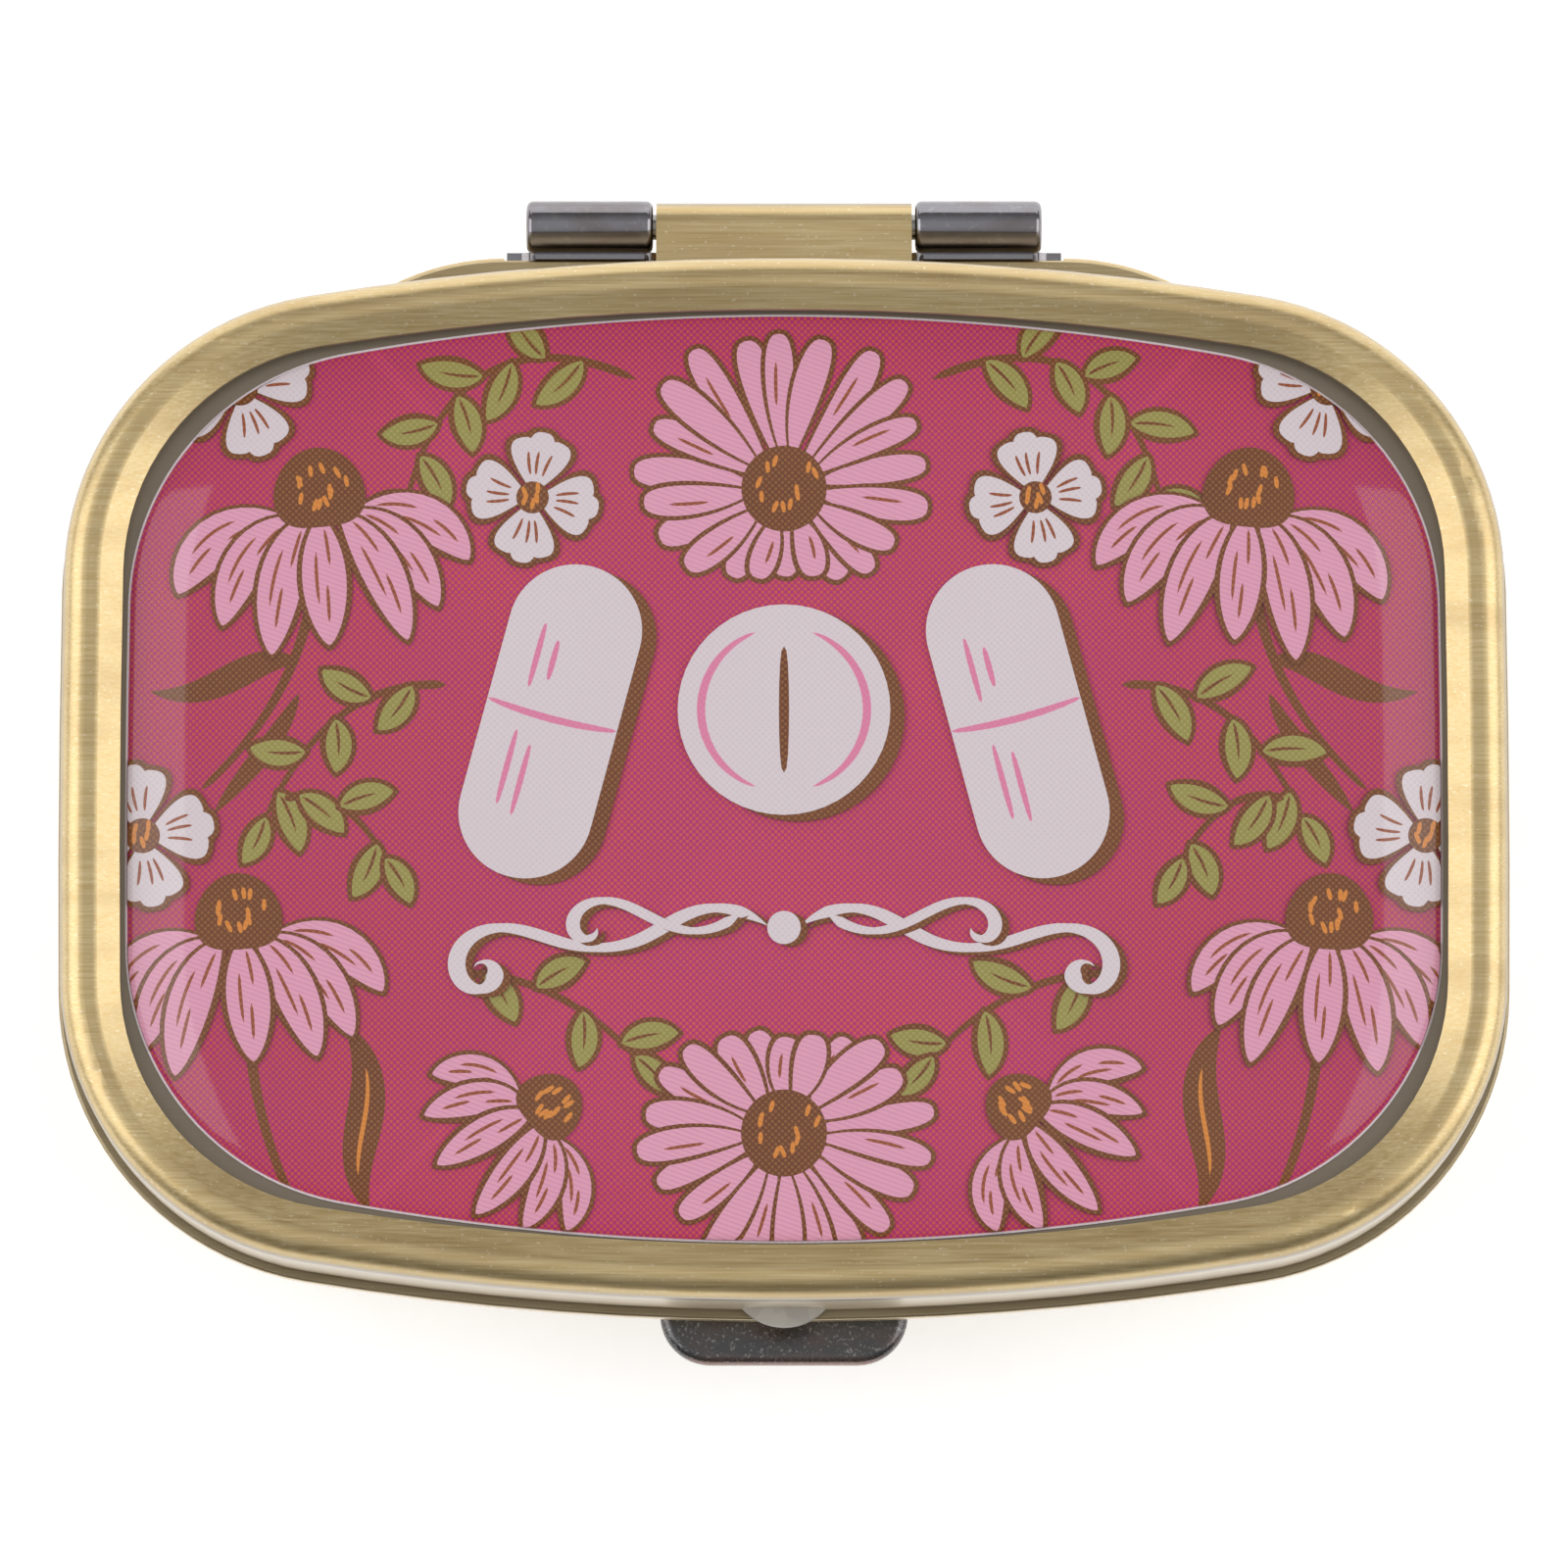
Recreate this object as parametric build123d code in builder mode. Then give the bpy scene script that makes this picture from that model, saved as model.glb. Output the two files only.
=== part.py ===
"""Hinged metal pill box: a drawn base with a three-cell tray, and a beaded lid
with a mirror inside and a domed label on top.

Millimetres, +Z up. The origin is on the resting face, at the middle of the base's
outline. The hinge is at +Y and the push latch at -Y, so the lid opens away from
the latch.
"""

import os
from math import atan2, degrees, radians, sqrt, tan
from typing import NamedTuple

from build123d import *


class Outline(NamedTuple):
    """A rounded box outline: four shallow arcs, each tangent to the corner arcs beside it."""

    half_width: float
    half_depth: float
    side_radius: float
    end_radius: float
    corner_radius: float

    def inset(self, distance):
        """The parallel outline that far inside this one, or outside it if distance is negative."""
        return Outline(*(size - distance for size in self))

    def end_y(self, x):
        """Y of the rear shallow arc at x."""
        return self.half_depth - self.end_radius + sqrt(self.end_radius**2 - x**2)

    def arcs(self):
        """(centre, radius, start angle, angle turned) of the eight arcs, in degrees."""
        side = Vector(self.half_width - self.side_radius, 0)
        end = Vector(0, self.half_depth - self.end_radius)
        reach = self.side_radius - self.corner_radius
        gap = end - side
        along = (reach**2 - (self.end_radius - self.corner_radius) ** 2 + gap.length**2) / (2 * gap.length)
        way = gap.normalized()
        corner = side + way * along + Vector(-way.Y, way.X) * sqrt(reach**2 - along**2)
        low = degrees(atan2(corner.Y, corner.X - side.X))
        high = degrees(atan2(corner.Y - end.Y, corner.X))
        turned = high - low
        return [
            (side, self.side_radius, -low, 2 * low),
            (corner, self.corner_radius, low, turned),
            (end, self.end_radius, high, 180 - 2 * high),
            (Vector(-corner.X, corner.Y), self.corner_radius, 180 - high, turned),
            (-side, self.side_radius, 180 - low, 2 * low),
            (-corner, self.corner_radius, 180 + low, turned),
            (-end, self.end_radius, 180 + high, 180 - 2 * high),
            (Vector(corner.X, -corner.Y), self.corner_radius, 360 - high, turned),
        ]


class Cushion(BaseSketchObject):
    """Sketch object: the face inside an Outline."""

    def __init__(self, outline, rotation=0, align=None, mode=Mode.ADD):
        with BuildSketch() as face:
            with BuildLine():
                for centre, radius, start, turned in outline.arcs():
                    CenterArc(centre, radius, start, turned)
            make_face()
        super().__init__(obj=face.sketch, rotation=rotation, align=align, mode=mode)


# Outlines.
LID = Outline(half_width=31.25, half_depth=22.73, side_radius=600, end_radius=128, corner_radius=12.5)
BASE = LID.inset(-0.4)
# The panel sunk inside the bead, which is a little wider at the ends than at the sides.
RECESS = Outline(half_width=28.65, half_depth=20.38, side_radius=597, end_radius=125, corner_radius=10.1)
LABEL = Outline(half_width=28.45, half_depth=20.25, side_radius=500, end_radius=107, corner_radius=11.4)

# Sheet and heights.
SHEET = 0.5
BASE_HEIGHT = 10.2
BASE_ROUND = 2.0
DRAFT_TOP = 9.4
WALL_DRAFT = 9
LID_BOTTOM = 10.5
LID_TOP = 16.2
PANEL_TOP = 14.9
PANEL_BOTTOM = PANEL_TOP - SHEET
BEAD_ROUND = 1.05
BEAD_SLOPE_WIDTH = 1.1
BEAD_SLOPE_DROP = 0.45
BEAD_CREST_ROUND = 0.8
EDGE_ROUND = 0.15

# Rim ring and tray.
RING_BOTTOM = 5.0
RING_TOP = 11.2
RING_LIP_INSET = 1.1
RING_INNER_INSET = 1.5
LATCH_GAP_HALF = 7.0
TAPE_THICKNESS = 0.3
TRAY_BOTTOM = SHEET + TAPE_THICKNESS
TRAY_TOP = 10.0
TRAY_INSET = 2.5
FLANGE_INSET = 1.7
FLANGE_BOTTOM = 9.2
TRAY_WALL = 0.9
TRAY_FLOOR = 0.8
TRAY_ROUND = 2.0
CELL_FLOOR_ROUND = 1.4
CELL_CORNER_ROUND = 1.8
MIDDLE_CELL_HALF = 9.1
DIVIDER = 1.0
TRAY_FRONT_Y = -17.6
SCOOP_RADIUS = 9.0
SCOOP_DEPTH = 2.5

# Hinge.
HINGE_FACE_Y = 23.6
LEAF = 0.55
KNUCKLE_RADIUS = 1.15
KNUCKLE_END_ROUND = 0.3
MIDDLE_KNUCKLE_RADIUS = 1.05
PIN_RADIUS = 0.55
PIN_RUNNING_GAP = 0.05
PIN_Y = 25.0
PIN_Z = 10.4
PIN_HALF = 11.2
KNUCKLE_OUTER_X = 11.3
KNUCKLE_INNER_X = 5.75
ROOT_WIDTH = 4.8
ROOT_ROUND = 0.8
MIDDLE_KNUCKLE_HALF = 5.6
PAD_FLAT_HALF = 12.3
PAD_EAR_STEP = 0.12
PAD_HALF = 18.5
PAD_BOTTOM = 4.0
PAD_TOP = 10.0
PAD_EDGE_ROUND = 0.2
LEAF_HALF = 12.2
LEAF_BOTTOM = 4.6
LEAF_SHOULDER = 8.8
RIVET_RADIUS = 0.7
HINGE_RIVET_X = 8.6
HINGE_RIVET_Z = 6.6

# Mirror.
FRAME_INSET = 1.3
FRAME_BOTTOM = 11.0
FRAME_WINDOW_INSET = 3.4
FRAME_REBATE_INSET = 2.6
MIRROR_INSET = 2.7
MIRROR_BOTTOM = 11.8
MIRROR_GLASS = 1.0
MIRROR_PAD_INSET = 4.2

# Latch and catch.
CATCH_HALF = 4.0
CATCH_BOTTOM = 8.2
CATCH_TOP = 13.5
BARB_TOP = 9.0
BARB_REACH = 0.6
LIP_HALF_CHORD = 1.8
LIP_REACH = 0.8
LIP_BOTTOM = 10.9
LIP_THICKNESS = 0.6
TAB_HALF = 5.4
TAB_OUTER_Y = -24.85
TAB_BOTTOM = 6.8
TAB_TOP = 8.0
TAB_CORNER = 2.2
TAB_EDGE_ROUND = 0.45
SLIDER_HALF = 6.3
SLIDER_FRONT_Y = -21.8
SLIDER_REAR_Y = -20.35
SLOT_GAP = 0.1
HOOK_HALF = 3.0
HOOK_FRONT_Y = -20.95
HOOK_TOP = 10.0
NOSE_Y = -21.6
NOSE_BOTTOM = 9.1
BRACKET_HALF = 6.9
BRACKET_FRONT_Y = -22.5
BRACKET_REAR_Y = -18.2
BRACKET_FOOT_Y = -19.85
BRACKET_SHEET = 0.4
BRACKET_TOP = 9.2
SPRING_STRIP = 0.25
SPRING_HALF = 4.6
LATCH_RIVET_X = 4.6
LATCH_RIVET_RADIUS = 0.4
LATCH_RIVET_Y = -19.27

LABEL_FILM = 0.1
DOME_TOP = 16.6
DOME_SPHERE = 800.0
DOME_EDGE_ROUND = 0.8
DOME_INSET = 0.08


def cushion_ring(outer, inner):
    """Sketches the band between two outlines in the open BuildSketch."""
    Cushion(outer)
    Cushion(inner, mode=Mode.SUBTRACT)


def wall_inset(z):
    """How far the base wall has drawn in from its rim at height z."""
    return max(DRAFT_TOP - z, 0) * tan(radians(WALL_DRAFT))


def drafted(outline, bottom):
    """A solid inside an outline, straight at the rim and drawn in below it by the wall's draft."""
    with BuildPart(mode=Mode.PRIVATE) as block:
        with BuildSketch(Plane.XY.offset(DRAFT_TOP)):
            Cushion(outline)
        extrude(amount=BASE_HEIGHT - DRAFT_TOP)
        with BuildSketch(Plane.XY.offset(DRAFT_TOP)):
            Cushion(outline)
        extrude(amount=DRAFT_TOP - bottom, dir=(0, 0, -1), taper=WALL_DRAFT)
    return block.part


def save(part, name):
    """Labels one finished piece and writes it as its own STEP file."""
    part.label = name
    export_step(part, f"parts/{name}.step")


os.makedirs("parts", exist_ok=True)

# ---------------------------------------------------------------- base

with BuildPart() as base_cavity:
    add(drafted(BASE.inset(SHEET), SHEET))
    fillet(base_cavity.edges().group_by(Axis.Z)[0], BASE_ROUND - SHEET)

with BuildPart() as base_shell:
    add(drafted(BASE, 0))
    fillet(base_shell.edges().group_by(Axis.Z)[0], BASE_ROUND)
    fillet(base_shell.edges().group_by(Axis.Z)[-1], EDGE_ROUND)
    add(base_cavity.part, mode=Mode.SUBTRACT)
    # Slot for the latch tab.
    with BuildSketch(Plane.XZ.offset(BASE.half_depth + 1)):
        with Locations((0, (TAB_BOTTOM + TAB_TOP) / 2)):
            Rectangle(2 * (TAB_HALF + SLOT_GAP), TAB_TOP - TAB_BOTTOM + 2 * SLOT_GAP)
    extrude(amount=-3, mode=Mode.SUBTRACT)
    # Holes for the hinge rivets and the latch rivets.
    with BuildSketch(Plane.XZ.offset(-HINGE_FACE_Y)):
        with Locations((-HINGE_RIVET_X, HINGE_RIVET_Z), (HINGE_RIVET_X, HINGE_RIVET_Z)):
            Circle(RIVET_RADIUS)
    extrude(amount=3, mode=Mode.SUBTRACT)
    with BuildSketch():
        with Locations(*((side * LATCH_RIVET_X, LATCH_RIVET_Y) for side in (-1, 1))):
            Circle(LATCH_RIVET_RADIUS)
    extrude(amount=SHEET, mode=Mode.SUBTRACT)

# The ring lines the base wall, and its lip stands up inside the lid.
with BuildPart() as base_rim_ring:
    add(drafted(BASE.inset(SHEET), RING_BOTTOM))
    add(drafted(BASE.inset(RING_INNER_INSET), RING_BOTTOM), mode=Mode.SUBTRACT)
    with BuildSketch(Plane.XY.offset(BASE_HEIGHT)):
        cushion_ring(BASE.inset(RING_LIP_INSET), BASE.inset(RING_INNER_INSET))
    extrude(amount=RING_TOP - BASE_HEIGHT)
    with Locations((0, -BASE.half_depth, RING_BOTTOM)):
        Box(
            2 * LATCH_GAP_HALF,
            6,
            RING_TOP,
            align=(Align.CENTER, Align.CENTER, Align.MIN),
            mode=Mode.SUBTRACT,
        )
    with Locations((0, BASE.half_depth, BASE_HEIGHT)):
        Box(
            2 * (MIDDLE_KNUCKLE_HALF + 0.4),
            6,
            RING_TOP,
            align=(Align.CENTER, Align.CENTER, Align.MIN),
            mode=Mode.SUBTRACT,
        )

# The tray's three cells, as the solid that is taken out of it.
with BuildPart() as tray_cells:
    with BuildSketch(Plane.XY.offset(TRAY_BOTTOM + TRAY_FLOOR)) as cell_plan:
        Cushion(BASE.inset(TRAY_INSET + TRAY_WALL))
        for side in (-1, 1):
            with Locations((side * (MIDDLE_CELL_HALF + DIVIDER / 2), 0)):
                Rectangle(DIVIDER, 3 * BASE.half_depth, mode=Mode.SUBTRACT)
        with Locations((0, TRAY_FRONT_Y + TRAY_WALL)):
            Rectangle(
                2 * MIDDLE_CELL_HALF,
                2 * TRAY_WALL + 10,
                align=(Align.CENTER, Align.MAX),
                mode=Mode.SUBTRACT,
            )
        by_dividers = [
            v
            for v in cell_plan.vertices()
            if any(abs(abs(v.X) - x) < 1e-3 for x in (MIDDLE_CELL_HALF, MIDDLE_CELL_HALF + DIVIDER))
        ]
        fillet(by_dividers, CELL_CORNER_ROUND)
    extrude(amount=TRAY_TOP)
    fillet(tray_cells.edges().group_by(Axis.Z)[0], CELL_FLOOR_ROUND)

with BuildPart() as pill_tray:
    with BuildSketch(Plane.XY.offset(TRAY_BOTTOM)):
        Cushion(BASE.inset(TRAY_INSET))
    extrude(amount=TRAY_TOP - TRAY_BOTTOM)
    fillet(pill_tray.edges().group_by(Axis.Z)[0], TRAY_ROUND)
    # Flange that hides the gap beside the drawn-in wall.
    with BuildSketch(Plane.XY.offset(FLANGE_BOTTOM)):
        Cushion(BASE.inset(FLANGE_INSET))
    extrude(amount=TRAY_TOP - FLANGE_BOTTOM)
    # Room for the latch bracket.
    with Locations((0, TRAY_FRONT_Y, 0)):
        Box(
            2 * (MIDDLE_CELL_HALF - TRAY_WALL),
            10,
            3 * TRAY_TOP,
            align=(Align.CENTER, Align.MAX, Align.CENTER),
            mode=Mode.SUBTRACT,
        )
    add(tray_cells.part, mode=Mode.SUBTRACT)
    # Finger scoop across both dividers.
    with Locations((0, 0, TRAY_TOP + SCOOP_RADIUS - SCOOP_DEPTH)):
        Cylinder(
            SCOOP_RADIUS,
            2 * (MIDDLE_CELL_HALF + DIVIDER + 1),
            rotation=(0, 90, 0),
            mode=Mode.SUBTRACT,
        )

with BuildPart() as tray_tape:
    with BuildSketch(Plane.XY.offset(SHEET)):
        with GridLocations(34, 0, 2, 1):
            RectangleRounded(14, 22, 2)
    extrude(amount=TAPE_THICKNESS)

# ---------------------------------------------------------------- hinge

with BuildPart() as hinge_pad:
    ear_y = HINGE_FACE_Y + PAD_EAR_STEP
    foot_y = BASE.end_y(PAD_HALF) - 0.02
    with BuildSketch(Plane.XY.offset(PAD_BOTTOM)):
        with BuildLine():
            Line((-PAD_FLAT_HALF, ear_y), (PAD_FLAT_HALF, ear_y))
            TangentArc((PAD_FLAT_HALF, ear_y), (PAD_HALF, foot_y), tangent=(1, 0))
            TangentArc((-PAD_FLAT_HALF, ear_y), (-PAD_HALF, foot_y), tangent=(-1, 0))
            Polyline((PAD_HALF, foot_y), (PAD_HALF, foot_y - 2), (-PAD_HALF, foot_y - 2), (-PAD_HALF, foot_y))
        make_face()
    extrude(amount=PAD_TOP - PAD_BOTTOM)
    ear_rims = [e for e in hinge_pad.edges().group_by(Axis.Z)[-1] if e.center().Y > foot_y + 0.1]
    chamfer(ear_rims, PAD_EDGE_ROUND)
    # Seat for the leaf, a little below the ears on both sides of it.
    with Locations((0, HINGE_FACE_Y, PAD_BOTTOM)):
        Box(
            2 * PAD_FLAT_HALF,
            2,
            PAD_TOP,
            align=(Align.CENTER, Align.MIN, Align.MIN),
            mode=Mode.SUBTRACT,
        )
    add(drafted(BASE, 0), mode=Mode.SUBTRACT)
    with BuildSketch(Plane.XZ.offset(-HINGE_FACE_Y)):
        with Locations((-HINGE_RIVET_X, HINGE_RIVET_Z), (HINGE_RIVET_X, HINGE_RIVET_Z)):
            Circle(RIVET_RADIUS)
    extrude(amount=3, mode=Mode.SUBTRACT)

with BuildPart() as base_hinge_leaf:
    with BuildSketch(Plane.XZ.offset(-HINGE_FACE_Y)) as leaf_plate:
        with Locations((0, LEAF_BOTTOM)):
            Rectangle(2 * LEAF_HALF, LEAF_SHOULDER - LEAF_BOTTOM, align=(Align.CENTER, Align.MIN))
        for side in (-1, 1):
            with Locations((side * (KNUCKLE_OUTER_X + KNUCKLE_INNER_X) / 2, LEAF_SHOULDER)):
                Rectangle(ROOT_WIDTH, PIN_Z - 0.1 - LEAF_SHOULDER, align=(Align.CENTER, Align.MIN))
        roots = [
            v for v in leaf_plate.vertices()
            if abs(v.Y - LEAF_SHOULDER) < 1e-3 and abs(v.X) < LEAF_HALF - 0.1
        ]
        fillet(roots, ROOT_ROUND)
        feet = [v for v in leaf_plate.vertices() if abs(v.Y - LEAF_BOTTOM) < 1e-3]
        fillet(feet, 1.5)
        with Locations((-HINGE_RIVET_X, HINGE_RIVET_Z), (HINGE_RIVET_X, HINGE_RIVET_Z)):
            Circle(RIVET_RADIUS, mode=Mode.SUBTRACT)
    extrude(amount=-LEAF)
    # Knuckles, each a rounded half section turned about the pin.
    with BuildSketch(Plane.XY.offset(PIN_Z)):
        for side in (-1, 1):
            with Locations((side * (KNUCKLE_OUTER_X + KNUCKLE_INNER_X) / 2, PIN_Y)):
                RectangleRounded(KNUCKLE_OUTER_X - KNUCKLE_INNER_X, 2 * KNUCKLE_RADIUS, KNUCKLE_END_ROUND)
        with Locations((0, PIN_Y)):
            Rectangle(3 * LEAF_HALF, 2 * KNUCKLE_RADIUS, align=(Align.CENTER, Align.MAX), mode=Mode.SUBTRACT)
    revolve(axis=Axis((0, PIN_Y, PIN_Z), (1, 0, 0)))
    for side in (-1, 1):
        with BuildSketch(Plane.YZ.offset(side * KNUCKLE_INNER_X)):
            with Locations((PIN_Y, PIN_Z)):
                Circle(PIN_RADIUS)
        extrude(amount=side * (KNUCKLE_OUTER_X - KNUCKLE_INNER_X), mode=Mode.SUBTRACT)

with BuildPart() as hinge_pin:
    with BuildSketch(Plane.YZ):
        with Locations((PIN_Y, PIN_Z)):
            Circle(PIN_RADIUS)
    extrude(amount=PIN_HALF, both=True)
    chamfer(hinge_pin.edges().filter_by(GeomType.CIRCLE), 0.15)

with BuildPart() as hinge_rivets:
    head_y = HINGE_FACE_Y + LEAF
    for side in (-1, 1):
        with BuildSketch(Plane.XY.offset(HINGE_RIVET_Z)):
            with BuildLine():
                axis_x = side * HINGE_RIVET_X
                tail_inset = SHEET + wall_inset(HINGE_RIVET_Z + RIVET_RADIUS)
                tail_y = BASE.inset(tail_inset).end_y(HINGE_RIVET_X) + 0.08
                ThreePointArc(
                    (axis_x, head_y + 0.4),
                    (axis_x + 0.8, head_y + 0.26),
                    (axis_x + 1.15, head_y),
                )
                Polyline(
                    (axis_x + 1.15, head_y),
                    (axis_x + RIVET_RADIUS, head_y),
                    (axis_x + RIVET_RADIUS, tail_y),
                    (axis_x, tail_y),
                    (axis_x, head_y + 0.4),
                )
            make_face()
        revolve(axis=Axis((axis_x, 0, HINGE_RIVET_Z), (0, 1, 0)))

# ---------------------------------------------------------------- latch

with BuildPart() as latch_bracket:
    shelf_top = TAB_BOTTOM
    with BuildSketch(Plane.YZ) as bracket_side:
        # Rear wall, foot and shelf of the folded strip.
        with Locations((BRACKET_REAR_Y, SHEET)):
            Rectangle(BRACKET_SHEET, BRACKET_TOP - SHEET, align=(Align.MAX, Align.MIN))
        with Locations((BRACKET_FOOT_Y, SHEET)):
            Rectangle(BRACKET_REAR_Y - BRACKET_FOOT_Y, BRACKET_SHEET, align=(Align.MIN, Align.MIN))
        with Locations((BRACKET_FRONT_Y, shelf_top)):
            Rectangle(BRACKET_REAR_Y - BRACKET_FRONT_Y, BRACKET_SHEET, align=(Align.MIN, Align.MAX))
    extrude(amount=BRACKET_HALF, both=True)
    for side in (-1, 1):
        # Cheek, and the lug folded over it that holds the slider down.
        with BuildSketch(Plane.YZ.offset(side * BRACKET_HALF)):
            with Locations((BRACKET_FRONT_Y, shelf_top - BRACKET_SHEET)):
                Rectangle(
                    BRACKET_REAR_Y - BRACKET_FRONT_Y,
                    TAB_TOP + 0.1 + BRACKET_SHEET - (shelf_top - BRACKET_SHEET),
                    align=(Align.MIN, Align.MIN),
                )
        extrude(amount=-side * BRACKET_SHEET)
        with BuildSketch(Plane.XY.offset(TAB_TOP + 0.1)):
            with Locations((side * BRACKET_HALF, BRACKET_FRONT_Y)):
                Rectangle(
                    1.6,
                    BRACKET_REAR_Y - BRACKET_FRONT_Y,
                    align=(Align.MIN if side < 0 else Align.MAX, Align.MIN),
                )
        extrude(amount=BRACKET_SHEET)
    with BuildSketch(Plane.XY.offset(SHEET)):
        with Locations(*((side * LATCH_RIVET_X, LATCH_RIVET_Y) for side in (-1, 1))):
            Circle(LATCH_RIVET_RADIUS)
    extrude(amount=BRACKET_SHEET, mode=Mode.SUBTRACT)
    # The folded strip follows the curved front wall.
    add(drafted(BASE.inset(SHEET + 0.1), SHEET), mode=Mode.INTERSECT)

with BuildPart() as latch_rivets:
    with BuildSketch():
        with Locations(*((side * LATCH_RIVET_X, LATCH_RIVET_Y) for side in (-1, 1))):
            Circle(LATCH_RIVET_RADIUS)
    extrude(amount=SHEET + BRACKET_SHEET)
    with BuildSketch(Plane.XY.offset(SHEET + BRACKET_SHEET)):
        with Locations(*((side * LATCH_RIVET_X, LATCH_RIVET_Y) for side in (-1, 1))):
            Circle(LATCH_RIVET_RADIUS + 0.25)
    extrude(amount=0.35)
    fillet(latch_rivets.edges().group_by(Axis.Z)[-1], 0.25)

with BuildPart() as latch_tab:
    with BuildSketch(Plane.XY.offset(TAB_BOTTOM)) as tab_plan:
        with Locations((0, TAB_OUTER_Y)):
            Rectangle(2 * TAB_HALF, SLIDER_REAR_Y - TAB_OUTER_Y, align=(Align.CENTER, Align.MIN))
        with Locations((0, SLIDER_FRONT_Y)):
            Rectangle(2 * SLIDER_HALF, SLIDER_REAR_Y - SLIDER_FRONT_Y, align=(Align.CENTER, Align.MIN))
        fillet([v for v in tab_plan.vertices() if abs(v.Y - TAB_OUTER_Y) < 1e-3], TAB_CORNER)
    extrude(amount=TAB_TOP - TAB_BOTTOM)
    finger_edges = [
        e
        for e in latch_tab.edges()
        if e.center().Y < SLIDER_FRONT_Y - 0.01 and abs(e.center().Z - (TAB_TOP + TAB_BOTTOM) / 2) > 0.3
    ]
    fillet(finger_edges, TAB_EDGE_ROUND)
    # Hook: an upright with a nose that reaches over the lid's barb.
    with BuildSketch(Plane.YZ):
        with BuildLine():
            Polyline(
                (HOOK_FRONT_Y, TAB_TOP),
                (HOOK_FRONT_Y, NOSE_BOTTOM),
                (NOSE_Y, NOSE_BOTTOM),
                (NOSE_Y, NOSE_BOTTOM + 0.2),
                (HOOK_FRONT_Y, HOOK_TOP),
                (HOOK_FRONT_Y + 0.6, HOOK_TOP),
                (HOOK_FRONT_Y + 0.6, TAB_TOP),
                close=True,
            )
        make_face()
    extrude(amount=HOOK_HALF, both=True)

# A bowed strip between the slider and the bracket's rear wall.
with BuildPart() as latch_spring:
    spring_rear_y = BRACKET_REAR_Y - BRACKET_SHEET
    with BuildSketch(Plane.XY.offset(TAB_BOTTOM + 0.1)):
        with BuildLine() as bow:
            ThreePointArc(
                (-SPRING_HALF, spring_rear_y - SPRING_STRIP),
                (0, SLIDER_REAR_Y),
                (SPRING_HALF, spring_rear_y - SPRING_STRIP),
            )
            ThreePointArc(
                (-SPRING_HALF, spring_rear_y),
                (0, SLIDER_REAR_Y + SPRING_STRIP),
                (SPRING_HALF, spring_rear_y),
            )
            Line((-SPRING_HALF, spring_rear_y - SPRING_STRIP), (-SPRING_HALF, spring_rear_y))
            Line((SPRING_HALF, spring_rear_y - SPRING_STRIP), (SPRING_HALF, spring_rear_y))
        make_face()
    extrude(amount=TAB_TOP - TAB_BOTTOM - 0.2)

# ---------------------------------------------------------------- lid

# A half-round lip that runs out through the skirt, above the latch tab.
lip_radius = (LIP_HALF_CHORD**2 + LIP_REACH**2) / (2 * LIP_REACH)
with BuildPart() as lip_blank:
    with BuildSketch(Plane.XY.offset(LIP_BOTTOM)):
        with Locations((0, -LID.half_depth - LIP_REACH + lip_radius)):
            Circle(lip_radius)
        with Locations((0, -LID.half_depth + SHEET + 0.25)):
            Rectangle(20, 20, align=(Align.CENTER, Align.MIN), mode=Mode.SUBTRACT)
    extrude(amount=LIP_THICKNESS)

# The lid's hollow: the skirt's inside, the groove under the bead and the flat underside of the panel.
with BuildPart() as lid_cavity:
    with BuildSketch(Plane.XY.offset(LID_BOTTOM)):
        Cushion(LID.inset(SHEET))
    extrude(amount=LID_TOP - SHEET - LID_BOTTOM)
    with BuildSketch(Plane.XY.offset(PANEL_BOTTOM)):
        Cushion(RECESS.inset(-SHEET))
    extrude(amount=LID_TOP - PANEL_BOTTOM, mode=Mode.SUBTRACT)
    fillet(lid_cavity.edges().group_by(Axis.Z)[-1], BEAD_ROUND - SHEET)

with BuildPart() as lid_shell:
    with BuildSketch(Plane.XY.offset(LID_BOTTOM)):
        Cushion(LID)
    extrude(amount=LID_TOP - LID_BOTTOM)
    with BuildSketch(Plane.XY.offset(PANEL_TOP)):
        Cushion(RECESS)
    extrude(amount=LID_TOP - PANEL_TOP, mode=Mode.SUBTRACT)
    # The bead: round outside, with a soft slope down to the panel inside.
    bead_top = lid_shell.faces().sort_by(Axis.Z)[-1]
    fillet(bead_top.outer_wire().edges(), BEAD_ROUND)
    bead_top = lid_shell.faces().sort_by(Axis.Z)[-1]
    inner_edges = bead_top.inner_wires()[0].edges()
    chamfer(inner_edges, BEAD_SLOPE_WIDTH, BEAD_SLOPE_DROP, reference=bead_top)
    bead_top = lid_shell.faces().sort_by(Axis.Z)[-1]
    fillet(bead_top.inner_wires()[0].edges(), BEAD_CREST_ROUND)
    fillet(lid_shell.edges().group_by(Axis.Z)[0], EDGE_ROUND)
    add(lid_cavity.part, mode=Mode.SUBTRACT)
    # Slot for the hinge leaf's web, and the one for the lip.
    with BuildSketch(Plane.XZ.offset(-LID.half_depth - 1)):
        with Locations((0, PIN_Z + MIDDLE_KNUCKLE_RADIUS - LEAF / 2)):
            Rectangle(2 * MIDDLE_KNUCKLE_HALF, LEAF)
    extrude(amount=2.5, mode=Mode.SUBTRACT)
    add(lip_blank.part, mode=Mode.SUBTRACT)

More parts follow.
